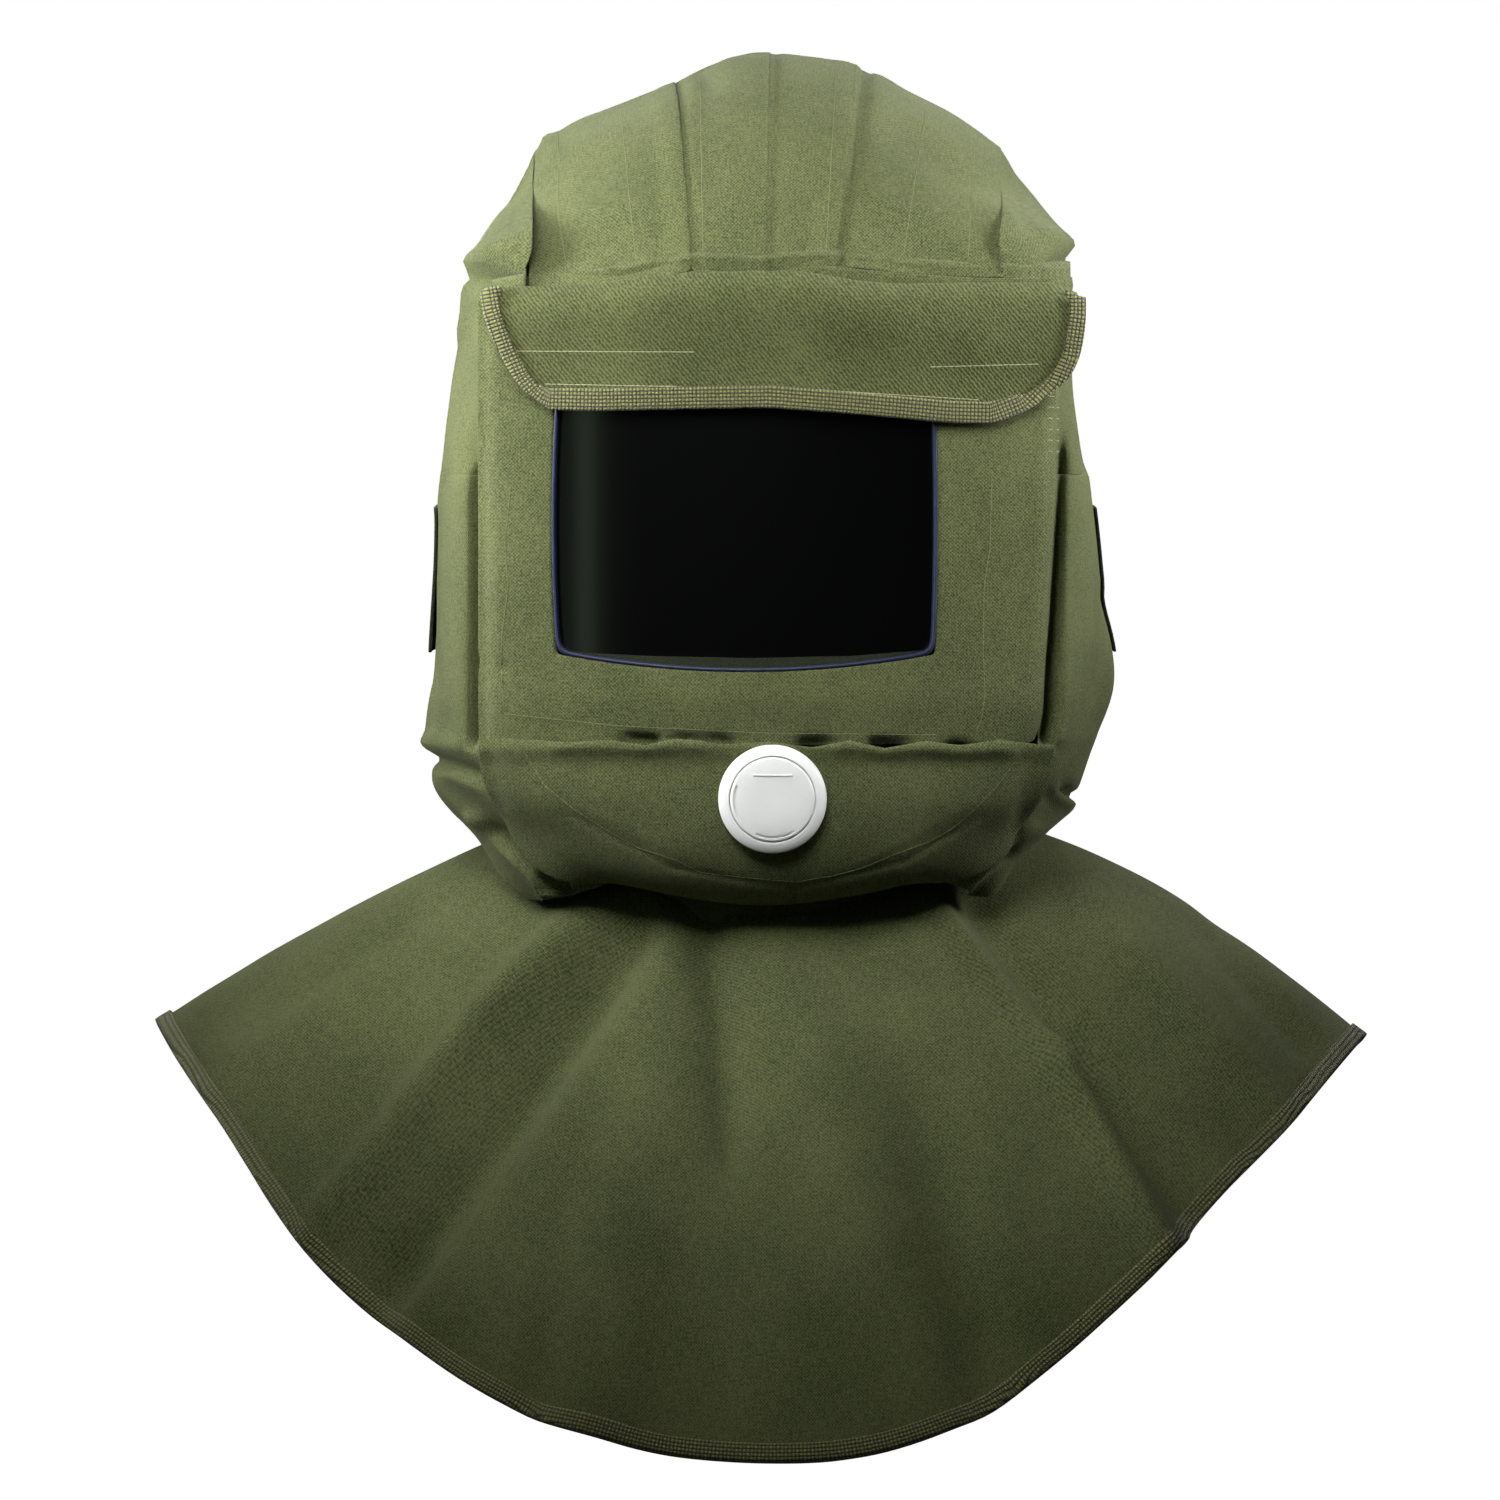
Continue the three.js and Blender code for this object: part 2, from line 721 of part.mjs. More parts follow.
function lowerSide(side) {
  const surface = (u, v) => {
    const level = lowerLevel(v);
    const front = lowerFrontTurn(side, level);
    const back = lowerBackTurn(side, level);
    return headPoint(side < 0 ? mix(back, front, u) : mix(front, back, u), level);
  };
  const grid = clothGrid(surface, 12, 12, false, {
    top: halfGap,
    bottom: halfGap,
    left: halfGap,
    right: halfGap,
  });
  return clothSolid(grid, false, -canvasWall, 0);
}

add('side_lower_left', lowerSide(-1), canvas);
add('side_lower_right', lowerSide(1), canvas);

function backPanel() {
  const surface = (u, v) => {
    const level = lowerLevel(v);
    const left = lowerBackTurn(-1, level) + 2 * Math.PI;
    return headPoint(mix(lowerBackTurn(1, level), left, u), level);
  };
  const grid = clothGrid(surface, 8, 12, false, {
    top: halfGap,
    bottom: halfGap,
    left: halfGap,
    right: halfGap,
  });
  return clothSolid(grid, false, -canvasWall, 0);
}

add('back_panel', backPanel(), canvas);

// Face panel: a ring of cloth between its outline and the window
const faceTopZ = crownTop - browDrop - seamGap;
const faceBottomZ = crownTop - faceBottomDrop;
const windowTopZ = crownTop - windowTopDrop;
const loopSides = table(
  ['steps', 'fromX', 'fromZ', 'toX', 'toZ', 'bulge'],
  [
    [14, -1, 1, 1, 1, 0.0],
    [8, 1, 1, 1, -1, 0.17],
    [14, 1, -1, -1, -1, 1.0],
    [8, -1, -1, -1, 1, 0.27],
  ],
);

// A four-sided loop of x and z, clockwise from the upper left, with its sides bowed outwards.
function rectangleLoop(left, right, top, bottom, bulge) {
  const points = [];
  for (const side of loopSides) {
    for (let k = 0; k < side.steps; k += 1) {
      const share = k / side.steps;
      const across = mix(side.fromX, side.toX, share);
      const up = mix(side.fromZ, side.toZ, share);
      const bow = bulge * side.bulge * 4 * share * (1 - share);
      const straight = side.fromX === side.toX;
      const x = mix(left, right, (across + 1) / 2) + (straight ? Math.sign(across) * bow : 0);
      const z = mix(bottom, top, (up + 1) / 2) + (straight ? 0 : Math.sign(up) * bow);
      points.push([x, z]);
    }
  }
  return points;
}

function faceRing(outer, inner, rings, under, over) {
  const surface = outer.map((from, i) => {
    const line = [];
    for (let j = 0; j <= rings; j += 1) {
      const share = j / rings;
      line.push([mix(from[0], inner[i][0], share), mix(from[1], inner[i][1], share)]);
    }
    return line;
  });
  const grid = surface.map((line) =>
    line.map(([x, z]) => {
      const point = facePoint(x, z, 0);
      return { point, normal: facePoint(x, z, 1).sub(point), u: x, v: z };
    }),
  );
  return facingOut(clothSolid(grid, true, under, over));
}

function windowLoop(margin) {
  const half = windowWidth / 2 + margin;
  return rectangleLoop(
    windowShift - half,
    windowShift + half,
    windowTopZ + margin,
    windowTopZ - windowHeight - margin,
    windowBulge,
  );
}

const trimFront = 2 * seat + faceWall;
const faceOutline = rectangleLoop(-faceHalfWidth, faceHalfWidth, faceTopZ, faceBottomZ, 0);
add('face_panel', faceRing(faceOutline, windowLoop(0), 3, seat, seat + faceWall), canvas);
const trimLoop = windowLoop(-seat);
const trimInside = windowLoop(-seat - trimWidth);
add('window_trim', faceRing(trimLoop, trimInside, 1, seat, trimFront), navy);

// Dark lens behind the window
function lens() {
  const loop = windowLoop(0);
  const bottom = Math.min(...loop.map((point) => point[1]));
  const half = windowWidth / 2 + lensMargin;
  const surface = (u, v) =>
    facePoint(
      windowShift + mix(-half, half, u),
      mix(windowTopZ + lensMargin, bottom - lensMargin, v),
      0,
    );
  return clothSolid(clothGrid(surface, 10, 3, false, {}), false, -lensWall, 0);
}

add('lens', lens(), darkPlastic);

// Window flap with its taped edge
const flapBase = trimFront + layerStand + tapeWall + tapeStand;
const flapTopZ = crownTop - browDrop + browRollHeight * 0.1;

function flapX(u, v) {
  const at = flapRowAt(v);
  const half = flapWidth / 2;
  const left = -half * readAt(flapEdges, 'left', at);
  return flapShift + mix(left, half * readAt(flapEdges, 'right', at), u);
}

function flapRowAt(v) {
  return solve((row) => readAt(flapEdges, 'down', row) > v, 0, flapEdges.length - 1);
}

function flapSurface(u, v) {
  const sag = 0.1 * flapHeight * smooth(clamp(u, 0, 1)) * v;
  const roll = flapRoll * Math.sin(Math.PI * clamp(v, 0, 1) ** 0.6) * (1 - clamp(v, 0, 1));
  return facePoint(flapX(u, v), flapTopZ - flapHeight * v - sag, flapBase + flapWall / 2 + roll);
}

const flapGrid = clothGrid(flapSurface, 16, 8, false, {});
add('window_flap', clothSolid(flapGrid, false, -flapWall / 2, flapWall / 2), twill);

function flapBinding() {
  const [left, right] = [flapGrid[0], flapGrid[flapGrid.length - 1]];
  const bottom = flapGrid.map((line) => line[line.length - 1]);
  const route = [...left.slice(1, -1), ...bottom, ...right.slice(1, -1).toReversed()];
  const frames = route.map((knot, i) => {
    const before = route[Math.max(i - 1, 0)].point;
    const after = route[Math.min(i + 1, route.length - 1)].point;
    return edgeFrame(knot, before, after);
  });
  return sweep(frames, channel(flapWall, tapeWidth), false);
}

add('flap_binding', flapBinding(), tape);

// Brow roll over the join of crown and face
function browRoll() {
  const level = levelAtDrop(browDrop - browRollHeight / 2 - seat);
  const half = browRollHeight / 2 - seat;
  const frames = [];
  const steps = 16;
  for (let i = 0; i <= steps; i += 1) {
    const x = mix(-1, 1, i / steps) * crownHalfWidth * 0.98;
    const turn = Math.sign(x || 1) * Math.abs(turnAtX(level, x || 0.01, false));
    const point = headPoint(turn, level);
    const surface = (u, v) => headPoint(turn + u, level + v);
    const outward = surfaceNormal(surface, 0, 0);
    const inward = new THREE.Vector3(0, 0, 1).addScaledVector(outward, -outward.z).normalize();
    frames.push({ point, outward, inward });
  }
  const near = seat * 2;
  const far = near + browRollWall;
  const section = [
    [-half, near],
    [half * 0.7, near],
    [half, mix(near, far, 0.3)],
    [half * 0.8, mix(near, far, 0.85)],
    [half * 0.3, far],
    [-half, mix(near, far, 0.75)],
  ];
  return sweep(frames, section, false);
}

add('brow_roll', browRoll(), canvas);

// Chin panel over the front of the side panels, with a hole for the valve
const chinTopLevel = levelAtDrop(faceBottomDrop + seamGap);

function chinSurface(u, v) {
  const level = mix(chinTopLevel, neckLevel, clamp(v, 0, 1));
  const spare = chinOverlap / headHalfWidth;
  const left = lowerFrontTurn(-1, level) - spare;
  const right = lowerFrontTurn(1, level) + spare;
  return headPoint(mix(left, right, u), level);
}

function chinLift(u, v) {
  const across = Math.sin(Math.PI * clamp(u, 0, 1));
  const down = Math.sin(Math.PI * clamp(v * 0.8 + 0.2, 0, 1));
  return layerStand * mix(2.6, 1, across) + chinBulge * across * down;
}

function valveFrame() {
  const level = solve((l) => headDrop(l, 0) > valveDrop, 0, neckLevel);
  const turn = Math.atan2(valveShift, headHalfDepth);
  const v = (level - chinTopLevel) / (neckLevel - chinTopLevel);
  const u = solve((s) => chinSurface(s, v).x > valveShift, 0, 1);
  const normal = surfaceNormal(chinSurface, u, v);
  const point = headPoint(turn, level).addScaledVector(normal, chinLift(u, v) + canvasWall);
  return { point, normal };
}

const valveAt = valveFrame();
const valveGroup = new THREE.Group();
valveGroup.position.copy(valveAt.point);
valveGroup.quaternion.setFromUnitVectors(new THREE.Vector3(0, 0, 1), valveAt.normal);
hood.add(valveGroup);
hood.updateMatrixWorld(true);

function lathe(profile, sides) {
  const points = profile.map(([radius, height]) => new THREE.Vector2(radius, height));
  const geometry = new THREE.LatheGeometry(points, sides);
  geometry.rotateX(quarter);
  geometry.deleteAttribute('normal');
  geometry.deleteAttribute('uv');
  return facingOut(dropFlatTriangles(mergeVertices(geometry, 1e-4)));
}

function chinPanel() {
  const grid = clothGrid(chinSurface, 14, 8, false, { bottom: halfGap });
  const solid = clothSolid(grid, false, chinLift, (u, v) => chinLift(u, v) + canvasWall);
  const reach = valveNutRadius;
  const hole = lathe(
    [
      [0, -reach],
      [valveSpigotRadius + valveClearance, -reach],
      [valveSpigotRadius + valveClearance, reach],
      [0, reach],
    ],
    valveSides,
  );
  hole.applyMatrix4(valveGroup.matrixWorld);
  return fromManifold(toManifold(facingOut(solid)).subtract(toManifold(hole)));
}

add('chin_panel', chinPanel(), canvas);

// Valve: a rimmed base with a spigot through the chin, a cap in the rim and a nut behind
const capRadius = valveRadius - valveRimWidth - valveClearance;
const spigotDepth = canvasWall + valveNutHeight + valveBaseWall + valveSpigotReach;
const spigotBore = valveSpigotRadius - valveSpigotWall;
const valveBase = lathe(
  [
    [spigotBore, -spigotDepth],
    [valveSpigotRadius, -spigotDepth],
    [valveSpigotRadius, seat],
    [valveRadius, seat],
    [valveRadius, seat + valveBaseWall],
    [valveRadius - valveRimWidth * 0.35, seat + valveRimHeight],
    [valveRadius - valveRimWidth, seat + valveRimHeight * 0.86],
    [valveRadius - valveRimWidth, seat + valveBaseWall],
    [spigotBore, seat + valveBaseWall],
    [spigotBore, -spigotDepth],
  ],
  valveSides,
);
add('valve_base', valveBase, white, valveGroup);

function arcBlock(slot, low, high) {
  const shape = new THREE.Shape();
  shape.absarc(0, 0, capRadius * 0.95, slot.from * degree, slot.to * degree, false);
  shape.absarc(0, 0, capRadius * 0.86, slot.to * degree, slot.from * degree, true);
  const geometry = new THREE.ExtrudeGeometry(shape, {
    depth: high - low,
    bevelEnabled: false,
    curveSegments: 6,
  });
  return geometry.translate(0, 0, low);
}

const capSlots = table(
  ['from', 'to'],
  [
    [160, 215],
    [245, 305],
  ],
);

function valveCap() {
  const low = 2 * seat + valveBaseWall;
  const high = low + valveCapHeight;
  const disc = lathe(
    [
      [0, low],
      [capRadius, low],
      [capRadius, high - valveCapChamfer],
      [capRadius - valveCapChamfer, high],
      [0, high],
    ],
    valveSides,
  );
  const bar = new THREE.BoxGeometry(capRadius * 0.95, valveBarWidth, valveBarWidth);
  bar.translate(0, capRadius * 0.58, high);
  let cap = toManifold(disc).add(toManifold(bar));
  for (const slot of capSlots) {
    cap = cap.subtract(toManifold(arcBlock(slot, low - seat, high + seat)));
  }
  return fromManifold(cap);
}

add('valve_cap', valveCap(), white, valveGroup);

// The nut stands behind the cloth, clear of the chin's curve
const nutTop = -canvasWall - seat - valveNutRadius ** 2 / headHalfDepth;
const valveNut = lathe(
  [
    [valveSpigotRadius + valveClearance, nutTop - valveNutHeight],
    [valveNutRadius, nutTop - valveNutHeight],
    [valveNutRadius, nutTop],
    [valveSpigotRadius + valveClearance, nutTop],
    [valveSpigotRadius + valveClearance, nutTop - valveNutHeight],
  ],
  valveSides,
);
add('valve_nut', valveNut, white, valveGroup);

// Ear flaps, sewn at the top and standing off at the bottom
function earFlap(side) {
  const surface = (u, v) => {
    const level = levelAtDrop(earFlapDrop + earFlapHeight * v);
    const spread = earFlapWidth / headHalfWidth / 2;
    return headPoint(side * quarter + mix(-spread, spread, u), level);
  };
  const under = (u, v) => 2 * seat + earFlapLift * v;
  const grid = clothGrid(surface, 4, 4, false, {});
  return clothSolid(grid, false, under, (u, v) => under(u, v) + canvasWall);
}

add('ear_flap_left', earFlap(-1), darkCloth);
add('ear_flap_right', earFlap(1), darkCloth);

// Neck band inside the neck seam
function neckPoint(turn, below) {
  const reach = neckReach(turn);
  const z = crownTop - headDrop(neckLevel, turn) - below;
  return new THREE.Vector3(reach * Math.sin(turn), -reach * Math.cos(turn), z);
}

const roundTurn = (u) => (u - 0.5) * 2 * Math.PI;

function neckBand() {
  const surface = (u, v) => neckPoint(roundTurn(u), neckBandHeight * v - neckBandRise);
  return clothSolid(clothGrid(surface, 40, 1, true, {}), true, -canvasWall, 0);
}

add('neck_band', neckBand(), canvas);

// Cape from the neck seam to the hem
function capeSurface(u, v) {
  const turn = roundTurn(u);
  const angle = turn / degree;
  const top = neckPoint(turn, capeSeamDrop);
  const start = neckReach(turn) + seat + capeWall / 2;
  const end = capeReach * readRound(capeHem, 'reach', angle);
  const hemZ = crownTop - headHeight - capeDrop * readRound(capeHem, 'drop', angle);
  const steep = clamp((top.z - hemZ) / capeDrop, 0, 1);
  const out = mix(start, end, v + 0.35 * steep * v * (1 - v));
  const bow = capeDrop * readRound(capeHem, 'bow', angle) * Math.sin(Math.PI * clamp(v, 0, 1) ** 0.8);
  let fold = 0;
  for (const row of capeFolds) fold += row.height * bell(turnBetween(angle, row.turn), row.spread);
  const rise = capeFold * fold * Math.max(v, 0) ** 0.9;
  const reach = out + rise * mix(0.6, 1, steep);
  const z = mix(top.z, hemZ, v) + bow + rise * mix(0.6, 0, steep);
  return new THREE.Vector3(reach * Math.sin(turn), -reach * Math.cos(turn), z);
}

const capeGrid = clothGrid(capeSurface, capeColumns, 6, true, {});
add('cape', clothSolid(capeGrid, true, -capeWall / 2, capeWall / 2), canvas);

function capeBinding() {
  const end = capeGrid[0].length - 1;
  const count = capeGrid.length;
  const frames = capeGrid.map((line, i) => {
    const before = capeGrid[(i + count - 1) % count][end].point;
    const after = capeGrid[(i + 1) % count][end].point;
    return edgeFrame(line[end], before, after);
  });
  return sweep(frames, channel(capeWall, tapeWidth), true);
}

add('cape_binding', capeBinding(), tape);

export default hood;
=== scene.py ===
"""A canvas hood with a dark window, a front flap, a breathing valve and a shoulder cape."""

import math

import bmesh
import bpy
import numpy as np
from mathutils import Matrix, Vector, noise
from mathutils.bvhtree import BVHTree


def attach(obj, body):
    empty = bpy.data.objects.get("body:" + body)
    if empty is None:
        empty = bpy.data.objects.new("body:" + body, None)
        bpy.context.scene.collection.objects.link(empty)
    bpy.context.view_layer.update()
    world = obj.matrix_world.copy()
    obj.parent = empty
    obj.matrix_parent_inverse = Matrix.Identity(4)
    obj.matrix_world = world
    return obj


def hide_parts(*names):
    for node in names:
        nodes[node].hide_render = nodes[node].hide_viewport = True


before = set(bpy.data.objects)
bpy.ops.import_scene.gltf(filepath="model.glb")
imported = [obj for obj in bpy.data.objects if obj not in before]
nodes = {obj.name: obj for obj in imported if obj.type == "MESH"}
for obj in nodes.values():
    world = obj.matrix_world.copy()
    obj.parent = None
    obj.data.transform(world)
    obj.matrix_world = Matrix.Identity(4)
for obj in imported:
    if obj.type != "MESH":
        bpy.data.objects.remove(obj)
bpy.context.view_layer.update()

MM = 0.001
PIXEL = 0.43 * MM
PHOTO = 1500
PHOTO_X = 765
AIM = Vector(((PHOTO / 2 - PHOTO_X) * PIXEL, 0, -0.29642))
ELEVATION = math.radians(3)
DISTANCE = 6.0
CAMERA_BACK = Vector((0, -math.cos(ELEVATION), math.sin(ELEVATION)))
CAMERA_UP = Vector((0, math.sin(ELEVATION), math.cos(ELEVATION)))
CAMERA_AT = AIM + CAMERA_BACK * DISTANCE
VALVE_AT = Vector((0.003036, -0.152897, -0.309266))
VALVE_AXIS = Vector((0.010833, -0.999941, 0)).normalized()
VALVE_TOP = 6.6 * MM
WEAVE_PITCH = 0.75 * MM
# The front half of the hood, the radius of its head part and the middle of its crown's curve
FRONT_LIMIT = 0.02
HEAD_RADIUS = 0.14
CROWN_MIDDLE = -0.13


# Photograph and surfaces


def pixel_ray(px, py):
    across = (px - PHOTO / 2) * PIXEL
    up = (PHOTO / 2 - py) * PIXEL
    target = AIM + Vector((across, 0, 0)) + CAMERA_UP * up
    return (target - CAMERA_AT).normalized()


def pixels_of(points):
    """Where points lie in the photograph, as two arrays."""
    rel = points - np.array(CAMERA_AT)
    depth = -rel @ np.array(CAMERA_BACK)
    scale = DISTANCE / depth / PIXEL
    up = rel @ np.array(CAMERA_UP)
    return PHOTO / 2 + rel[:, 0] * scale, PHOTO / 2 - up * scale


def surface_of(obj):
    mesh = obj.data
    corners = [v.co.copy() for v in mesh.vertices]
    return BVHTree.FromPolygons(corners, [tuple(p.vertices) for p in mesh.polygons])


def smooth(share):
    share = np.clip(share, 0, 1)
    return share * share * (3 - 2 * share)


# Modelling helpers


def only(obj):
    bpy.ops.object.select_all(action="DESELECT")
    obj.select_set(True)
    bpy.context.view_layer.objects.active = obj


def add_object(name, mesh):
    obj = bpy.data.objects.new(name, mesh)
    bpy.context.scene.collection.objects.link(obj)
    return obj


def apply_modifiers(obj):
    only(obj)
    for modifier in list(obj.modifiers):
        bpy.ops.object.modifier_apply(modifier=modifier.name)


def subdivide(obj, levels):
    modifier = obj.modifiers.new("smooth", "SUBSURF")
    modifier.levels = modifier.render_levels = levels
    apply_modifiers(obj)


def points_of(obj):
    flat = np.empty(len(obj.data.vertices) * 3)
    obj.data.vertices.foreach_get("co", flat)
    return flat.reshape(-1, 3)


def set_points(obj, points):
    obj.data.vertices.foreach_set("co", points.ravel())
    obj.data.update()


def finish_piece(obj, material, slot, *replaced):
    obj.data.materials.clear()
    obj.data.materials.append(material)
    for polygon in obj.data.polygons:
        polygon.use_smooth = True
    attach(obj, "root")
    if replaced:
        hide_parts(*replaced)
    return obj


def quad_copy(node, name):
    """A copy of a node's mesh with its loose triangles merged and joined into quads."""
    obj = add_object(name, nodes[node].data.copy())
    only(obj)
    bpy.ops.object.mode_set(mode="EDIT")
    bpy.ops.mesh.select_all(action="SELECT")
    bpy.ops.mesh.remove_doubles(threshold=0.00002)
    bpy.ops.mesh.tris_convert_to_quads(
        face_threshold=math.radians(50), shape_threshold=math.radians(70)
    )
    bpy.ops.mesh.normals_make_consistent(inside=False)
    bpy.ops.object.mode_set(mode="OBJECT")
    return obj


FOLD_OVER = math.radians(48)
WALL = 3.4 * MM


def widen_edges(obj, distance, crease):
    """Moves a cloth's cut edges out in the cloth's plane, so that neighbours meet, and creases
    them."""
    mesh = bmesh.new()
    mesh.from_mesh(obj.data)
    mesh.normal_update()
    layers = mesh.edges.layers.float
    layer = layers.get("crease_edge") or layers.new("crease_edge")
    sharp = {
        e for e in mesh.edges
        if len(e.link_faces) == 2 and e.calc_face_angle(0) > FOLD_OVER
    }
    moves = {}
    for face in mesh.faces:
        edges = list(face.edges)
        if len(edges) == 4:
            wall = any(edges[k] in sharp and edges[k + 2] in sharp for k in range(2))
            short = min(e.calc_length() for e in edges) < WALL
            if wall and short:
                for vertex in face.verts:
                    moves.setdefault(vertex, []).append(face.normal.copy())
    for vertex, normals in moves.items():
        total = sum(normals, Vector())
        if total.length > 0.1:
            vertex.co += total.normalized() * distance
    for edge in sharp:
        edge[layer] = crease
    mesh.to_mesh(obj.data)
    mesh.free()


def noise_field(points, size, seed):
    """Soft noise from -1 to 1 at points, with features about as large as size."""
    offset = Vector((seed * 7.31, seed * 3.17, seed * 1.93))
    return np.array([noise.noise(Vector(p) / size + offset) for p in points])


def outward_of(points):
    """A smooth outward direction for the cloth of the head, and of the cape below it."""
    out = points.copy()
    out[:, 2] = np.maximum(points[:, 2] - CROWN_MIDDLE, 0) * 1.1
    below = np.clip((-points[:, 2] - 0.36) / 0.05, 0, 1)
    radius = np.hypot(points[:, 0], points[:, 1])
    out[:, 2] += below * radius * 0.9
    return out / np.maximum(np.linalg.norm(out, axis=1), 1e-9)[:, None]


def pixel_relief(points, rows):
    """Heights of ridges and dents that are laid out by pixel: each row is a line from one pixel
    to another, its half width in pixels, and its height in millimetres."""
    px, py = pixels_of(points)
    height = np.zeros(len(points))
    for x0, y0, x1, y1, width, lift in rows:
        along = np.array([x1 - x0, y1 - y0], float)
        length = np.hypot(*along)
        along /= max(length, 1e-6)
        s = (px - x0) * along[0] + (py - y0) * along[1]
        t = -(px - x0) * along[1] + (py - y0) * along[0]
        past = np.maximum(np.maximum(-s, s - length), 0)
        height += lift * MM * np.exp(-((t / width) ** 2) - (past / (width * 1.6)) ** 2)
    return height * (points[:, 1] < FRONT_LIMIT)


def wrinkled(points, rows, wrinkle):
    """Points raised by the folds in rows and by soft uneven wrinkles."""
    height = pixel_relief(points, rows)
    height += noise_field(points, 0.045, 1) * wrinkle * MM
    height += noise_field(points, 0.017, 2) * 0.3 * wrinkle * MM
    return points + outward_of(points) * height[:, None]


# Weave coordinates, in metres


def turn_of(centre, point):
    """The angle of a point round the hood, on the same side of the back seam as its face."""
    turn = math.atan2(centre[0], -centre[1])
    own = math.atan2(point[0], -point[1])
    return own + round((turn - own) / (2 * math.pi)) * 2 * math.pi


def head_weave(centre, point):
    return turn_of(centre, point) * HEAD_RADIUS, point[2]


def crown_weave(centre, point):
    return point[0], math.atan2(point[2] - CROWN_MIDDLE, -point[1]) * HEAD_RADIUS


def front_weave(centre, point):
    return point[0], point[2]


CAPE_SECTOR, CAPE_TIP = 0.72, -0.29


def cape_weave(centre, point):
    """The cape laid out flat as the sector that it is cut from."""
    turn = turn_of(centre, point) * CAPE_SECTOR
    slant = math.hypot(math.hypot(point[0], point[1]), point[2] - CAPE_TIP)
    return slant * math.sin(turn), -slant * math.cos(turn)


def weave_layer(mesh):
    return mesh.uv_layers.get("weave") or mesh.uv_layers.new(name="weave")


def lay_weave(obj, weave):
    mesh = obj.data
    layer = weave_layer(mesh)
    points = points_of(obj)
    for polygon in mesh.polygons:
        centre = polygon.center
        for loop in polygon.loop_indices:
            layer.data[loop].uv = weave(centre, points[mesh.loops[loop].vertex_index])


def lay_tape(obj, points, route):
    """Weave coordinates along and across a tape whose points follow a route."""
    mesh = obj.data
    layer = weave_layer(mesh)
    starts, ends = route[:-1], route[1:]
    spans = ends - starts
    lengths = np.linalg.norm(spans, axis=1)
    before = np.concatenate([[0], np.cumsum(lengths)[:-1]])
    places = np.empty((len(points), 2))
    for i, point in enumerate(points):
        share = np.clip(((point - starts) * spans).sum(1) / lengths**2, 0, 1)
        gap = np.linalg.norm(starts + spans * share[:, None] - point, axis=1)
        best = int(np.argmin(gap))
        places[i] = before[best] + share[best] * lengths[best], gap[best]
    total = lengths.sum()
    for polygon in mesh.polygons:
        corners = [mesh.loops[k].vertex_index for k in polygon.loop_indices]
        first = places[corners[0]][0]
        for loop, corner in zip(polygon.loop_indices, corners):
            along, across = places[corner]
            along += round((first - along) / total) * total
            layer.data[loop].uv = (along, across)


# Materials


class Nodes:
    """Adds and joins nodes in a tree."""

    def __init__(self, tree):
        self.tree = tree

    def add(self, kind, **values):
        node = self.tree.nodes.new(kind)
        for key, value in values.items():
            if hasattr(node, key):
                setattr(node, key, value)
        return node

    def link(self, a, b):
        self.tree.links.new(a, b)

    def math(self, operation, *values):
        node = self.add("ShaderNodeMath", operation=operation)
        for k, value in enumerate(values):
            if isinstance(value, (int, float)):
                node.inputs[k].default_value = value
            else:
                self.link(value, node.inputs[k])
        return node.outputs[0]

    def noise(self, vector, scale, detail=2.0, rough=0.5):
        node = self.add("ShaderNodeTexNoise")
        node.inputs["Scale"].default_value = scale
        node.inputs["Detail"].default_value = detail
        node.inputs["Roughness"].default_value = rough
        self.link(vector, node.inputs["Vector"])
        return node.outputs["Fac"]

    def scaled(self, vector, x, y, z=1.0, turn=0.0):
        node = self.add("ShaderNodeMapping")
        node.inputs["Scale"].default_value = (x, y, z)
        node.inputs["Rotation"].default_value = (0, 0, turn)
        self.link(vector, node.inputs["Vector"])
        return node.outputs[0]

    def ramp(self, value, stops):
        node = self.add("ShaderNodeValToRGB")
        elements = node.color_ramp.elements
        while len(elements) > 1:
            elements.remove(elements[-1])
        elements[0].position, elements[0].color = stops[0][0], (*stops[0][1], 1)
        for place, colour in stops[1:]:
            elements.new(place).color = (*colour, 1)
        self.link(value, node.inputs[0])
        return node.outputs["Color"]

    def bump(self, height, distance, strength=1.0):
        node = self.add("ShaderNodeBump")
        node.inputs["Distance"].default_value = distance
        node.inputs["Strength"].default_value = strength
        self.link(height, node.inputs["Height"])
        return node.outputs[0]


def new_material(name):
    """A material with its nodes and its shader."""
    material = bpy.data.materials.new(name)
    material.use_nodes = True
    return material, Nodes(material.node_tree), material.node_tree.nodes["Principled BSDF"]


def linear(*srgb):
    """A colour in linear light from one in 0 to 255."""
    return tuple(((c / 255 + 0.055) / 1.055) ** 2.4 for c in srgb)


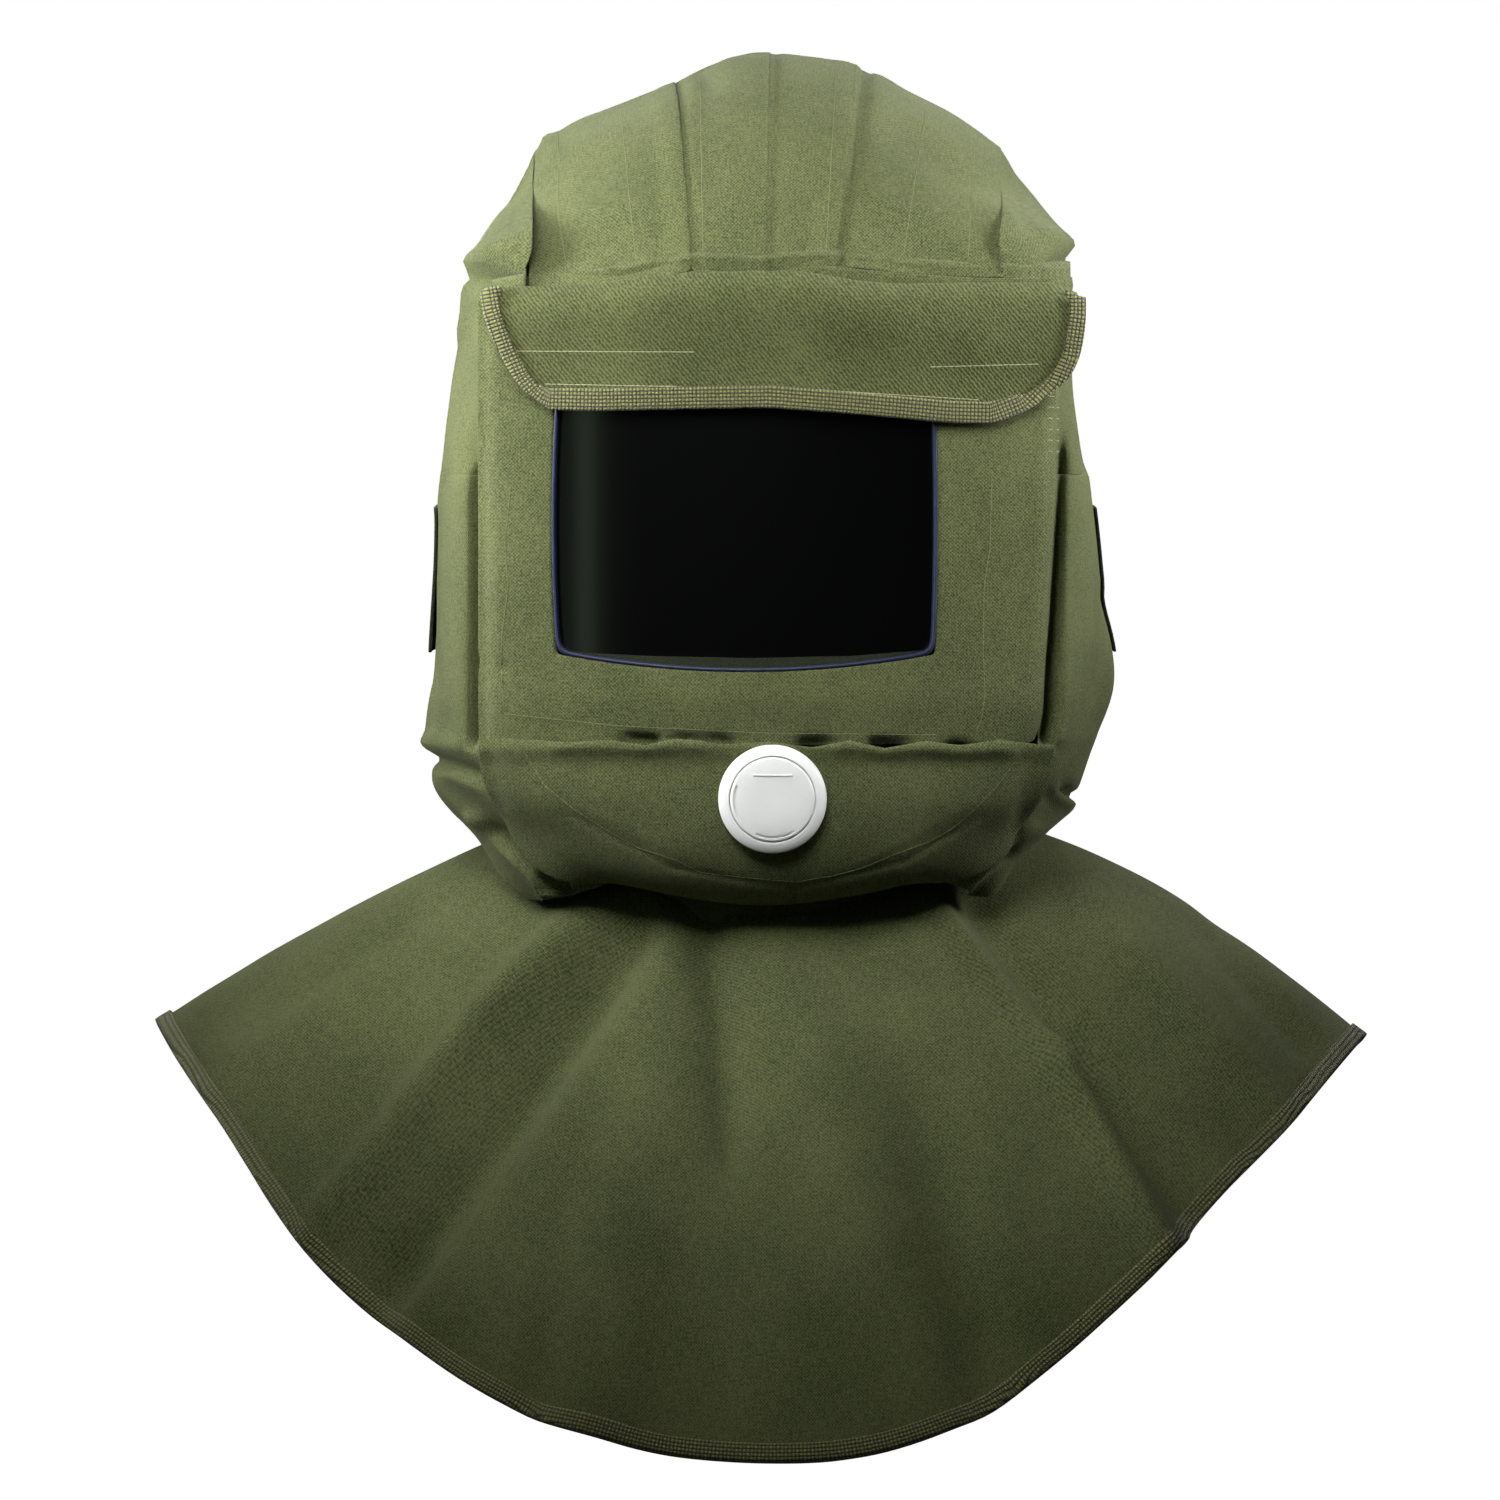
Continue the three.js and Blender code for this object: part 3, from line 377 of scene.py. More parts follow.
def cloth_group(name, diagonal):
    """Colour share and height of a woven cloth, from weave coordinates in metres."""
    tree = bpy.data.node_groups.new(name, "ShaderNodeTree")
    tree.interface.new_socket("Shade", in_out="OUTPUT", socket_type="NodeSocketFloat")
    tree.interface.new_socket("Height", in_out="OUTPUT", socket_type="NodeSocketFloat")
    n = Nodes(tree)
    out = n.add("NodeGroupOutput")
    uv = n.add("ShaderNodeUVMap", uv_map="weave").outputs[0]
    warp = n.noise(n.scaled(uv, 1300, 160), 1.0, 2.0, 0.6)
    weft = n.noise(n.scaled(uv, 160, 1200), 1.0, 2.0, 0.6)
    speck = n.noise(n.scaled(uv, 1000, 1000), 1.0, 1.5, 0.6)
    cloud = n.noise(n.scaled(uv, 20, 16), 1.0, 3.0, 0.55)
    # Each crossing of warp and weft is a small rise; the rise also lightens the colour, a painted
    # highlight on each crossing with painted shade between them
    split = n.add("ShaderNodeSeparateXYZ")
    pitch = math.pi / WEAVE_PITCH
    sway = n.add("ShaderNodeVectorMath", operation="MULTIPLY_ADD")
    wander = n.add("ShaderNodeTexNoise")
    wander.inputs["Scale"].default_value = 420.0
    n.link(uv, wander.inputs["Vector"])
    n.link(wander.outputs["Color"], sway.inputs[0])
    sway.inputs[1].default_value = (0.0012, 0.0012, 0)
    n.link(uv, sway.inputs[2])
    turn = math.radians(-40) if diagonal else 0.0
    n.link(n.scaled(sway.outputs[0], pitch, pitch, 1, turn), split.inputs[0])
    over = n.math("SINE", split.outputs[0])
    if not diagonal:
        over = n.math("MULTIPLY", over, n.math("SINE", split.outputs[1]))
    # The threads' own uneven tone, plus the crossings' rise as painted highlight and painted shade
    thread = n.math("ADD", n.math("MULTIPLY", warp, 0.30), n.math("MULTIPLY", weft, 0.24))
    thread = n.math("ADD", thread, n.math("MULTIPLY_ADD", over, 0.12, 0.12))
    shade = n.math("ADD", n.math("MULTIPLY", thread, 0.66), n.math("MULTIPLY", cloud, 0.18))
    shade = n.math("ADD", shade, n.math("MULTIPLY", speck, 0.34))
    n.link(shade, out.inputs["Shade"])
    n.link(n.math("ADD", thread, n.math("MULTIPLY", speck, 0.45)), out.inputs["Height"])
    return tree


def cloth_material(name, group, dark, light):
    material, n, shader = new_material(name)
    cloth = n.add("ShaderNodeGroup")
    cloth.node_tree = group
    colour = n.ramp(cloth.outputs["Shade"], [(0.40, dark), (0.62, light)])
    n.link(colour, shader.inputs["Base Color"])
    n.link(n.bump(cloth.outputs["Height"], 0.7 * MM, 0.8), shader.inputs["Normal"])
    shader.inputs["Roughness"].default_value = 0.95
    shader.inputs["Specular IOR Level"].default_value = 0.15
    shader.inputs["Sheen Weight"].default_value = 0.1
    shader.inputs["Sheen Roughness"].default_value = 0.6
    shader.inputs["Sheen Tint"].default_value = (0.75, 0.8, 0.55, 1)
    return material


def tape_material():
    material, n, shader = new_material("woven_tape")
    uv = n.add("ShaderNodeUVMap", uv_map="weave").outputs[0]
    split = n.add("ShaderNodeSeparateXYZ")
    n.link(n.scaled(uv, 620, 620), split.inputs[0])
    u, v = split.outputs[0], split.outputs[1]
    # Basket weave: each cell is a rib that runs one way or the other
    cell = n.math("MODULO", n.math("ADD", n.math("FLOOR", u), n.math("FLOOR", v)), 2.0)
    ribs_u = n.math("ABSOLUTE", n.math("SINE", n.math("MULTIPLY", u, math.pi)))
    ribs_v = n.math("ABSOLUTE", n.math("SINE", n.math("MULTIPLY", v, math.pi)))
    height = n.math("MULTIPLY", n.math("POWER", ribs_u, 0.6), n.math("POWER", ribs_v, 0.6))
    grain = n.noise(n.scaled(uv, 900, 900), 1.0, 2.0)
    # The rib height also sets the tone: painted shade in the grooves between ribs and a painted
    # highlight on the rib tops; the cell and grain terms are the tape's own uneven tone
    tone = n.math("ADD", n.math("MULTIPLY", height, 0.75), n.math("MULTIPLY", cell, 0.10))
    tone = n.math("ADD", tone, n.math("MULTIPLY", grain, 0.30))
    colour = n.ramp(
        tone,
        [(0.25, linear(18, 20, 8)), (0.55, linear(68, 71, 27)), (0.95, linear(122, 124, 66))],
    )
    n.link(colour, shader.inputs["Base Color"])
    n.link(n.bump(height, 0.7 * MM), shader.inputs["Normal"])
    shader.inputs["Roughness"].default_value = 0.8
    shader.inputs["Sheen Weight"].default_value = 0.2
    return material


def plain_material(name, colour, roughness, specular=0.5, mottle=0.0):
    material, n, shader = new_material(name)
    shader.inputs["Base Color"].default_value = (*colour, 1)
    shader.inputs["Roughness"].default_value = roughness
    shader.inputs["Specular IOR Level"].default_value = specular
    if mottle:
        place = n.add("ShaderNodeTexCoord").outputs["Object"]
        cloud = n.noise(n.scaled(place, 90, 90, 90), 1.0, 4.0)
        darker = tuple(c * (1 - mottle) for c in colour)
        n.link(n.ramp(cloud, [(0.3, darker), (0.7, colour)]), shader.inputs["Base Color"])
        grain = n.noise(n.scaled(place, 700, 700, 700), 1.0, 3.0)
        n.link(n.bump(grain, 0.04 * MM), shader.inputs["Normal"])
    return material


PLAIN = cloth_group("plain_weave", False)
TWILL = cloth_group("twill_weave", True)
canvas = cloth_material("canvas", PLAIN, linear(46, 53, 29), linear(99, 104, 67))
twill = cloth_material("twill", TWILL, linear(44, 50, 26), linear(94, 99, 61))
dark_cloth = cloth_material("dark_cloth", PLAIN, linear(20, 23, 15), linear(38, 43, 29))
tape = tape_material()
thread = plain_material("pale_thread", linear(146, 148, 116), 0.7, 0.2)
thread_dark = plain_material("olive_thread", linear(104, 108, 74), 0.7, 0.2)
navy = plain_material("navy_edge", linear(26, 32, 62), 0.5, 0.4, 0.25)
glass = plain_material("dark_glass", (0.0010, 0.0011, 0.0011), 0.16, 0.22)
white = plain_material("white_plastic", linear(226, 227, 225), 0.36, 0.4, 0.04)

# Head cloth

FOLDS = [
    # Sides beside the face: a deep valley at the panel's edge and a roll outside it
    (480, 480, 477, 740, 8, -3.0), (452, 500, 447, 700, 9, 2.0), (434, 520, 436, 680, 7, -1.2),
    (1062, 460, 1050, 742, 8, -3.0), (1084, 480, 1092, 640, 8, 1.8),
    (1104, 600, 1098, 690, 8, -1.6),
    (470, 320, 466, 450, 12, -3.0), (1068, 300, 1064, 440, 10, -3.0),
    # Jaw, left
    (424, 757, 484, 776, 6, -5.0), (430, 742, 486, 752, 8, 2.8), (436, 785, 482, 826, 8, 2.6),
    (452, 775, 500, 800, 8, 2.0), (496, 832, 548, 854, 9, -6.0), (481, 822, 574, 918, 7, 4.2),
    (533, 842, 615, 856, 7, 2.4), (552, 862, 572, 915, 6, -5.0), (540, 868, 552, 905, 5, 2.4),
    (500, 806, 560, 850, 7, 1.6), (590, 880, 610, 905, 8, -2.5),
    # Jaw, right
    (1029, 758, 1062, 800, 8, 2.8), (1068, 792, 1082, 802, 6, -5.5), (1060, 806, 1036, 832, 7, 3.2),
    (1044, 770, 1048, 790, 7, -3.0), (948, 906, 1026, 830, 7, 3.6), (965, 910, 1012, 858, 7, -5.5),
    (1010, 800, 1014, 850, 6, -2.6), (1085, 740, 1072, 775, 8, 2.0),
    # Crown, soft and uneven
    (575, 180, 600, 250, 20, 0.9), (655, 140, 668, 230, 14, -1.0), (900, 130, 960, 190, 22, -1.5),
    (880, 200, 960, 240, 18, 1.0), (730, 120, 735, 220, 16, 0.7), (700, 62, 706, 72, 16, -2.6),
    (620, 98, 640, 92, 20, -1.4), (548, 138, 552, 150, 9, 2.6), (800, 190, 812, 240, 16, -1.0),
    # Beside the crown: the cloth folds over into a pocket at each end of the flap
    (480, 278, 508, 281, 8, -9.0), (466, 268, 505, 246, 10, 4.2), (520, 170, 512, 215, 9, -1.8),
    (1056, 268, 1074, 262, 8, -9.0), (1050, 236, 1072, 250, 9, 4.0),
    (1014, 180, 1030, 225, 10, -1.8),
    (462, 290, 458, 330, 7, 2.0), (1078, 285, 1076, 330, 7, 1.6),
]
# Each gore dips a little where the next one laps over it
GORE_FOLDS = {
    "left_outer": [(660, 90, 679, 262, 12, 0.7)],
    "left_inner": [(679, 80, 698, 262, 6, -0.7), (755, 60, 754, 262, 12, 0.6)],
    "right_inner": [(775, 60, 772, 262, 6, -1.0), (846, 66, 824, 258, 12, 0.7)],
    "right_outer": [(866, 70, 843, 258, 6, -2.2), (885, 80, 862, 258, 14, 0.8)],
}


def relax(obj, times):
    """Evens out the small steps that relief leaves."""
    modifier = obj.modifiers.new("relax", "SMOOTH")
    modifier.factor = 0.5
    modifier.iterations = times
    apply_modifiers(obj)


def cloth(
    node, weave, levels, widen=0.55, crease=0.85, wrinkle=0.9, rows=FOLDS, finish=(canvas, "canvas")
):
    """A panel of cloth in place of a node's plain solid."""
    obj = quad_copy(node, node + "_cloth")
    widen_edges(obj, widen * MM, crease)
    subdivide(obj, levels)
    set_points(obj, wrinkled(points_of(obj), rows, wrinkle))
    lay_weave(obj, weave)
    return finish_piece(obj, *finish, node)


def line_at(line, px):
    return np.interp(px, [p[0] for p in line], [p[1] for p in line])


def stretched(points, line, flat, hinge):
    """Stretches the cloth between a hinge row and a flat edge row so that the edge meets a line
    of pixels."""
    px, py = pixels_of(points)
    share = np.clip((hinge - py) / (hinge - flat), 0, 1.15)
    moved = points.copy()
    moved[:, 2] -= share * (line_at(line, px) - flat) * PIXEL * (points[:, 1] < FRONT_LIMIT)
    return moved


ROLL_TOP = [
    (490, 288), (505, 285), (538, 280), (630, 271), (698, 259), (758, 263), (822, 254),
    (896, 262), (974, 267), (1040, 268), (1062, 266), (1080, 266),
]
CROWN_END = [(x, y + 12) for x, y in ROLL_TOP]
CROWN_HINGE = 205
PANEL_LEFT = [(288, 484), (744, 484)]
PANEL_RIGHT = [
    (288, 1060), (420, 1056), (480, 1055), (614, 1050), (667, 1046), (713, 1044), (745, 1035),
]
made = {}


def shaped_gore(gore, rows):
    """A crown gore whose front end meets the roll above the flap."""
    piece = cloth("crown_gore_" + gore, crown_weave, 3, 0.7, 0.9, 0.7, FOLDS + rows)
    points = points_of(piece)
    low = pixels_of(points[points[:, 1] < 0])[1].max()
    set_points(piece, stretched(points, CROWN_END, low, CROWN_HINGE))
    return piece


def shaped_side(side, inward, edge):
    """The upper side cloth, drawn in under the crown's edge at a pixel column."""
    piece = cloth("side_upper_" + side, head_weave, 3, 0.8, 0.9)
    points = points_of(piece)
    px, py = pixels_of(points)
    near = np.exp(-(((px - edge) / 15) ** 2)) * smooth((py - CROWN_HINGE) / 70)
    points[:, 0] += inward * near * (points[:, 1] < 0) * 5.0 * MM
    set_points(piece, points)
    return piece


def sink_beside_panel(piece, line, out):
    """A deep valley along the panel's edge, and a roll outside it."""
    points = points_of(piece)
    px, py = pixels_of(points)
    off = (px - line_at(line, py)) * out
    rows = smooth((py - 400) / 60) * smooth((752 - py) / 14) * (points[:, 1] < 0)
    back = np.exp(-(((off - 3) / 8) ** 2)) * 11 - np.exp(-(((off - 26) / 9) ** 2)) * 3.5
    points[:, 1] += back * rows * MM
    set_points(piece, points)


for gore, rows in GORE_FOLDS.items():
    made["crown_" + gore] = shaped_gore(gore, rows)
for side, inward, edge in (("left", 1, 532), ("right", -1, 1004)):
    made["side_upper_" + side] = shaped_side(side, inward, edge)
    made["side_lower_" + side] = cloth("side_lower_" + side, head_weave, 3, 0.6, 0.9)
for side, line, out in (("left", PANEL_LEFT, -1), ("right", PANEL_RIGHT, 1)):
    for part in ("side_upper_", "side_lower_"):
        sink_beside_panel(made[part + side], line, out)
made["back_panel"] = cloth("back_panel", head_weave, 3, 0.6, 0.9)
made["neck_band"] = cloth("neck_band", head_weave, 1, wrinkle=0.0)

FACE_FOLDS = [
    (632, 740, 650, 741, 6, -7.0), (716, 741, 724, 742, 6, -5.0), (680, 739, 694, 740, 5, -4.0),
    (808, 744, 824, 744, 6, -6.5), (880, 744, 900, 745, 6, -6.0), (955, 746, 966, 746, 6, -4.0),
    (486, 664, 498, 668, 6, -2.4),
]
PANEL_TOP = [(x, y + 10) for x, y in ROLL_TOP]


def shaped_panel():
    """The stiff panel, its top lowered behind the flap and its sides rolled back."""
    piece = cloth("face_panel", front_weave, 3, 0.0, 0.7, 0.35, FACE_FOLDS)
    points = points_of(piece)
    points = stretched(points, PANEL_TOP, pixels_of(points)[1].min(), 340)
    px, py = pixels_of(points)
    left, right = line_at(PANEL_LEFT, py), line_at(PANEL_RIGHT, py)
    wide = px.max()
    move = smooth((px - 940) / (wide - 940)) * (right - wide)
    points[:, 0] += move * PIXEL
    px += move
    roll = np.clip(1 - (px - left) / 14, 0, 1) ** 2 + np.clip(1 - (right - px) / 14, 0, 1) ** 2
    points[:, 1] += roll * (4.0 + 5.0 * smooth((py - 400) / 60)) * MM
    # Soft rise of the cloth all round the window
    rise = np.exp(-(((px - 520) / 26) ** 2)) + np.exp(-(((px - 1000) / 28) ** 2))
    rise = rise * 0.9 + np.exp(-(((py - 700) / 20) ** 2))
    points[:, 1] -= rise * 0.9 * MM * (py > 415)
    set_points(piece, points)
    lay_weave(piece, front_weave)
    return piece


made["face_panel"] = shaped_panel()
CHIN_FOLDS = [
    (520, 752, 571, 816, 3, -0.9), (571, 816, 672, 868, 3, -0.9), (672, 868, 795, 889, 3, -0.9),
    (795, 889, 904, 861, 3, -0.9), (904, 861, 982, 816, 3, -0.9), (982, 816, 1024, 759, 3, -0.9),
    (526, 744, 580, 806, 6, 0.6), (580, 806, 680, 855, 6, 0.6), (860, 862, 974, 803, 6, 0.6),
    (560, 749, 700, 750, 7, 2.4), (840, 750, 1000, 753, 7, 2.4), (600, 765, 640, 840, 18, -1.0),
    (870, 770, 880, 850, 18, 0.9), (940, 775, 930, 830, 14, -0.9), (700, 770, 706, 850, 12, 0.8),
    (484, 748, 500, 830, 10, -1.5), (1032, 752, 1020, 830, 10, -1.8),
]
CHIN_TOP = [
    (480, 736), (520, 738), (570, 740), (610, 737), (645, 742), (675, 735), (700, 737), (722, 741),
    (770, 738), (812, 744), (850, 737), (885, 745), (925, 738), (960, 743), (1000, 738),
    (1040, 744),
]


def shaped_chin():
    """The chin panel, with a wavy upper edge that laps over the panel above."""
    piece = cloth("chin_panel", front_weave, 3, 0.0, 0.7, 0.8, CHIN_FOLDS)
    points = points_of(piece)
    points = stretched(points, CHIN_TOP, pixels_of(points[points[:, 1] < -0.1])[1].min(), 790)
    _, py = pixels_of(points)
    points[:, 1] -= np.clip(1 - np.abs(py - 748) / 16, 0, 1) * 2.6 * MM
    set_points(piece, points)
    lay_weave(piece, front_weave)
    return piece


made["chin_panel"] = shaped_chin()

# Where the flap and the roll above it lie in the photograph, as pixels across and down

FLAP_TOP = [
    (480, 290), (487, 287), (560, 284), (607, 281), (657, 273), (749, 269), (804, 270),
    (859, 279), (896, 282), (974, 281), (1052, 281), (1067, 288), (1080, 292),
]
FLAP_BOTTOM = [(487, 395), (545, 408), (700, 407), (850, 412), (993, 422), (1069, 395)]


def lowest_rows(points):
    """The lowest pixel row that points reach, every 15 pixels across."""
    px, py = pixels_of(points)
    return [(c, py[np.abs(px - c) < 12].max()) for c in range(535, 1030, 15)]


FLAP_EDGE = [
    (484, 280), (489, 310), (503, 352), (515, 380), (530, 400), (545, 410), (600, 411), (700, 409),
    (770, 408), (850, 414), (950, 423), (993, 424), (1026, 411), (1053, 383), (1064, 356),
    (1070, 315), (1070, 280),
]
FLAP_DROP = [
    (c, line_at(FLAP_EDGE, c) - row) for c, row in lowest_rows(points_of(nodes["flap_binding"]))
]
FLAP_DROP = [(500, 0), *FLAP_DROP, (1052, 0)]


def settle_flap(points):
    """Sets the flap's lower edge on its line, lowers its upper edge to the curved fold and rounds
    it back over the fold."""
    points = points.copy()
    px, py = pixels_of(points)
    points[:, 2] -= smooth((py - 315) / 75) * line_at(FLAP_DROP, px) * PIXEL
    px, py = pixels_of(points)
    top, bottom = line_at(FLAP_TOP, px), line_at(FLAP_BOTTOM, px)
    share = np.clip((bottom - py) / (bottom - FLAP_FLAT_TOP), 0, 1.1)
    down = share * (top - FLAP_FLAT_TOP)
    moved = points.copy()
    moved[:, 2] -= down * PIXEL
    near = np.clip(1 - (py + down - top) / 18, 0, 1)
    moved[:, 1] += near**2 * 4.0 * MM
    return moved


def front_of(surfaces, x, z):
    """How far forward the given surfaces reach at a place."""
    hits = [s.ray_cast(Vector((x, -1, z)), Vector((0, 1, 0)))[0] for s in surfaces]
    hits = [h.y for h in hits if h is not None]
    return min(hits) if hits else None


FLAP_FLAT_TOP = pixels_of(points_of(nodes["window_flap"]))[1].min()
FLAP_FOLDS = [
    (560, 300, 640, 345, 30, 1.6), (700, 300, 760, 360, 34, -1.4), (850, 300, 960, 330, 30, 1.8),
    (960, 350, 1030, 380, 26, -1.4), (600, 375, 720, 380, 18, 0.8),
]
flap = cloth("window_flap", front_weave, 3, 0.0, 0.6, 0.35, FLAP_FOLDS, (twill, "twill"))
set_points(flap, settle_flap(points_of(flap)))
lay_weave(flap, front_weave)
made["window_flap"] = flap

ROLL_LEFT, ROLL_RIGHT = 497, 1066


def row_height(row, depth):
    """The height of a place that lies on a pixel row at a depth."""
    return AIM.z + (PHOTO / 2 - row) * PIXEL / math.cos(ELEVATION) - depth * math.tan(ELEVATION)


def brow_roll():
    """The rolled fold that stands behind the flap's upper edge, from pocket to pocket."""
    behind = [surface_of(made[k]) for k in made if k.startswith(("crown", "side_upper"))]
    before = [surface_of(flap)]
    bpy.ops.object.select_all(action="DESELECT")
    bpy.ops.mesh.primitive_grid_add(x_subdivisions=220, y_subdivisions=40, size=1)
    obj = bpy.context.object
    obj.name = "brow_roll_cloth"
    points = points_of(obj)
    depths = {}
    for i, (x, y, _) in enumerate(points.copy()):
        px = ROLL_LEFT + (x + 0.5) * (ROLL_RIGHT - ROLL_LEFT)
        across = (px - PHOTO_X) * PIXEL
        top, fold = line_at(ROLL_TOP, px), line_at(FLAP_TOP, px)
        if px not in depths:
            back = front_of(behind, across, row_height(top - 4, -0.13))
            front = front_of(before, across, row_height(fold + 8, -0.15))
            if back is None or front is None:
                back = back or -0.10
                front = front or back - 8 * MM
            depths[px] = back, front
        back, front = depths[px]
        # From the crown the cloth rises over the roll, then slopes down in front behind the flap
        down = 0.5 - y
        rise = math.sin(min(down / 0.3, 1) * math.pi / 2)
        slope = float(smooth((down - 0.72) / 0.28))
        depth = (back + 2 * MM - 7 * MM * rise) * (1 - slope)
        depth += (max(front, back - 0.03) + 3 * MM) * slope
        points[i] = across, depth, row_height(top + 2 + (fold + 18 - top) * down, depth)
    wrinkles = noise_field(points, 0.022, 5) * 1.4 + noise_field(points, 0.009, 6) * 0.4
    points[:, 1] -= wrinkles * MM
    set_points(obj, points)
    thick = obj.modifiers.new("thick", "SOLIDIFY")
    thick.thickness = 1.2 * MM
    apply_modifiers(obj)
    lay_weave(obj, front_weave)
    return finish_piece(obj, canvas, "canvas", "brow_roll")


made["brow_roll"] = brow_roll()


def shaped_ear_flap(side):
    """An ear flap, laid on the side cloth; the left one lifts off it towards its lower edge."""
    finish = (dark_cloth, "dark_cloth")
    piece = cloth("ear_flap_" + side, head_weave, 2, 0.0, 0.7, 0.3, [], finish)
    points = points_of(piece)
    _, py = pixels_of(points)
    out = 1 if side == "right" else -1
    head_side = surface_of(made["side_lower_" + side])
    for i, (x, y, z) in enumerate(points.copy()):
        hit = head_side.ray_cast(Vector((out, y, z)), Vector((-out, 0, 0)))[0]
        if hit is not None:
            face = out * piece.data.vertices[i].normal.x
            rest = hit.x + out * (1.0 + 0.7 * max(-1, min(1, face * 2))) * MM
            lift = 0.0 if side == "right" else 0.55 * float(smooth((py[i] - 560) / 90))
            points[i, 0] = rest * (1 - lift) + x * lift
    set_points(piece, points)
    return piece


for side in ("left", "right"):
    made["ear_flap_" + side] = shaped_ear_flap(side)

# Cape

CAPE_FOLDS = [
    (575, 925, 332, 1216, 20, 9.0), (618, 950, 402, 1270, 26, -13.0),
    (520, 960, 430, 1090, 30, 3.0), (706, 930, 728, 1134, 26, -9.0),
    (780, 960, 862, 1230, 46, 6.0), (930, 900, 1055, 1064, 12, 6.5),
    (1055, 1064, 1162, 1250, 14, 10.0), (985, 905, 1098, 1060, 18, -11.0),
    (1098, 1060, 1200, 1200, 24, -14.0), (1140, 960, 1270, 1110, 26, 4.0),
    (380, 950, 250, 1060, 30, 3.0), (930, 1120, 990, 1380, 36, -6.0),
    (470, 1180, 420, 1290, 26, 3.4), (640, 1150, 610, 1380, 34, 4.6),
    (560, 1200, 540, 1380, 22, -4.0),
    (1215, 940, 1300, 1040, 16, -4.0), (440, 900, 300, 1000, 16, -2.4),
]
made["cape"] = cloth("cape", cape_weave, 3, 0.0, 0.6, 1.0, CAPE_FOLDS)
relax(made["cape"], 8)


def cape_route(points):
    """The outer edge of the cape's tape, once round."""
    turns = np.arctan2(points[:, 0], -points[:, 1])
    bins = np.linspace(-math.pi, math.pi, 145)
    route = []
    for low, high in zip(bins[:-1], bins[1:]):
        near = points[(turns >= low) & (turns < high)]
        if len(near):
            reach = np.hypot(near[:, 0], near[:, 1]) - near[:, 2] * 1.2
            route.append(near[int(np.argmax(reach))])
    return np.array([*route, route[0]])


def cape_tape(obj):
    points = wrinkled(points_of(obj), CAPE_FOLDS, 1.0)
    set_points(obj, points)
    lay_tape(obj, points, cape_route(points))


def flap_tape(obj):
    points = settle_flap(wrinkled(points_of(obj), FLAP_FOLDS, 0.35))
    px, py = pixels_of(points)
    inner = smooth((line_at(FLAP_EDGE, px) - 8 - py) / 4) * smooth((px - 535) / 20)
    inner *= smooth((1030 - px) / 20)
    points[:, 2] += (inner * 2.4 + smooth((322 - py) / 20) * 6.0) * MM
    points[:, 1] -= inner * 0.15 * MM
    set_points(obj, points)
    places = np.stack(pixels_of(points), axis=1) * PIXEL
    lay_tape(obj, places, np.array(FLAP_EDGE, float) * PIXEL)


def binding(node, shape):
    """The tape of an edge, moved with the cloth that it binds."""
    obj = quad_copy(node, node + "_tape")
    widen_edges(obj, 0.0, 0.5)
    subdivide(obj, 2)
    shape(obj)
    return finish_piece(obj, tape, "tape", node)


made["cape_binding"] = binding("cape_binding", cape_tape)
made["flap_binding"] = binding("flap_binding", flap_tape)

# Window

trim = quad_copy("window_trim", "window_trim_edge")
widen_edges(trim, 0.25 * MM, 0.3)
subdivide(trim, 2)
finish_piece(trim, navy, "navy_edge", "window_trim")
pane = quad_copy("lens", "lens_pane")
widen_edges(pane, 0.0, 1.0)
subdivide(pane, 3)
finish_piece(pane, glass, "dark_lens", "lens")

LEDGE_LEFT, LEDGE_RIGHT, LEDGE_DEPTH = 560, 924, -0.146
LEDGE_TOP = [(558, 650), (590, 653), (650, 656), (750, 658), (850, 656), (926, 650)]
LEDGE_END = [(558, 661), (590, 668), (650, 674), (750, 679), (850, 675), (926, 664)]


def window_ledge():
    """The narrow strip of backing cloth that shows under the dark glass."""
    glass_front = surface_of(pane)
    bpy.ops.object.select_all(action="DESELECT")
    bpy.ops.mesh.primitive_grid_add(x_subdivisions=60, y_subdivisions=4, size=1)
    obj = bpy.context.object
    obj.name = "window_ledge"
    points = points_of(obj)
    for i, (x, y, _) in enumerate(points.copy()):
        px = LEDGE_LEFT + (x + 0.5) * (LEDGE_RIGHT - LEDGE_LEFT)
        top, end = line_at(LEDGE_TOP, px), line_at(LEDGE_END, px)
        ray = pixel_ray(px, top + (end - top) * (0.5 - y))
        hit = glass_front.ray_cast(CAMERA_AT, ray)[0]
        if hit is None:
            hit = CAMERA_AT + ray * ((LEDGE_DEPTH - CAMERA_AT.y) / ray.y)
        points[i] = hit - ray * 0.4 * MM
    set_points(obj, points)
    lay_weave(obj, front_weave)
    return finish_piece(obj, dark_cloth, "dark_cloth")


window_ledge()

# Valve


def on_valve(obj):
    """Sets an object that was made around +Z on the valve's axis."""
    turn = Vector((0, 0, 1)).rotation_difference(VALVE_AXIS).to_matrix().to_4x4()
    place = Matrix.Translation(VALVE_AT - VALVE_AXIS * VALVE_TOP)
    obj.data.transform(place @ turn)
    obj.data.update()


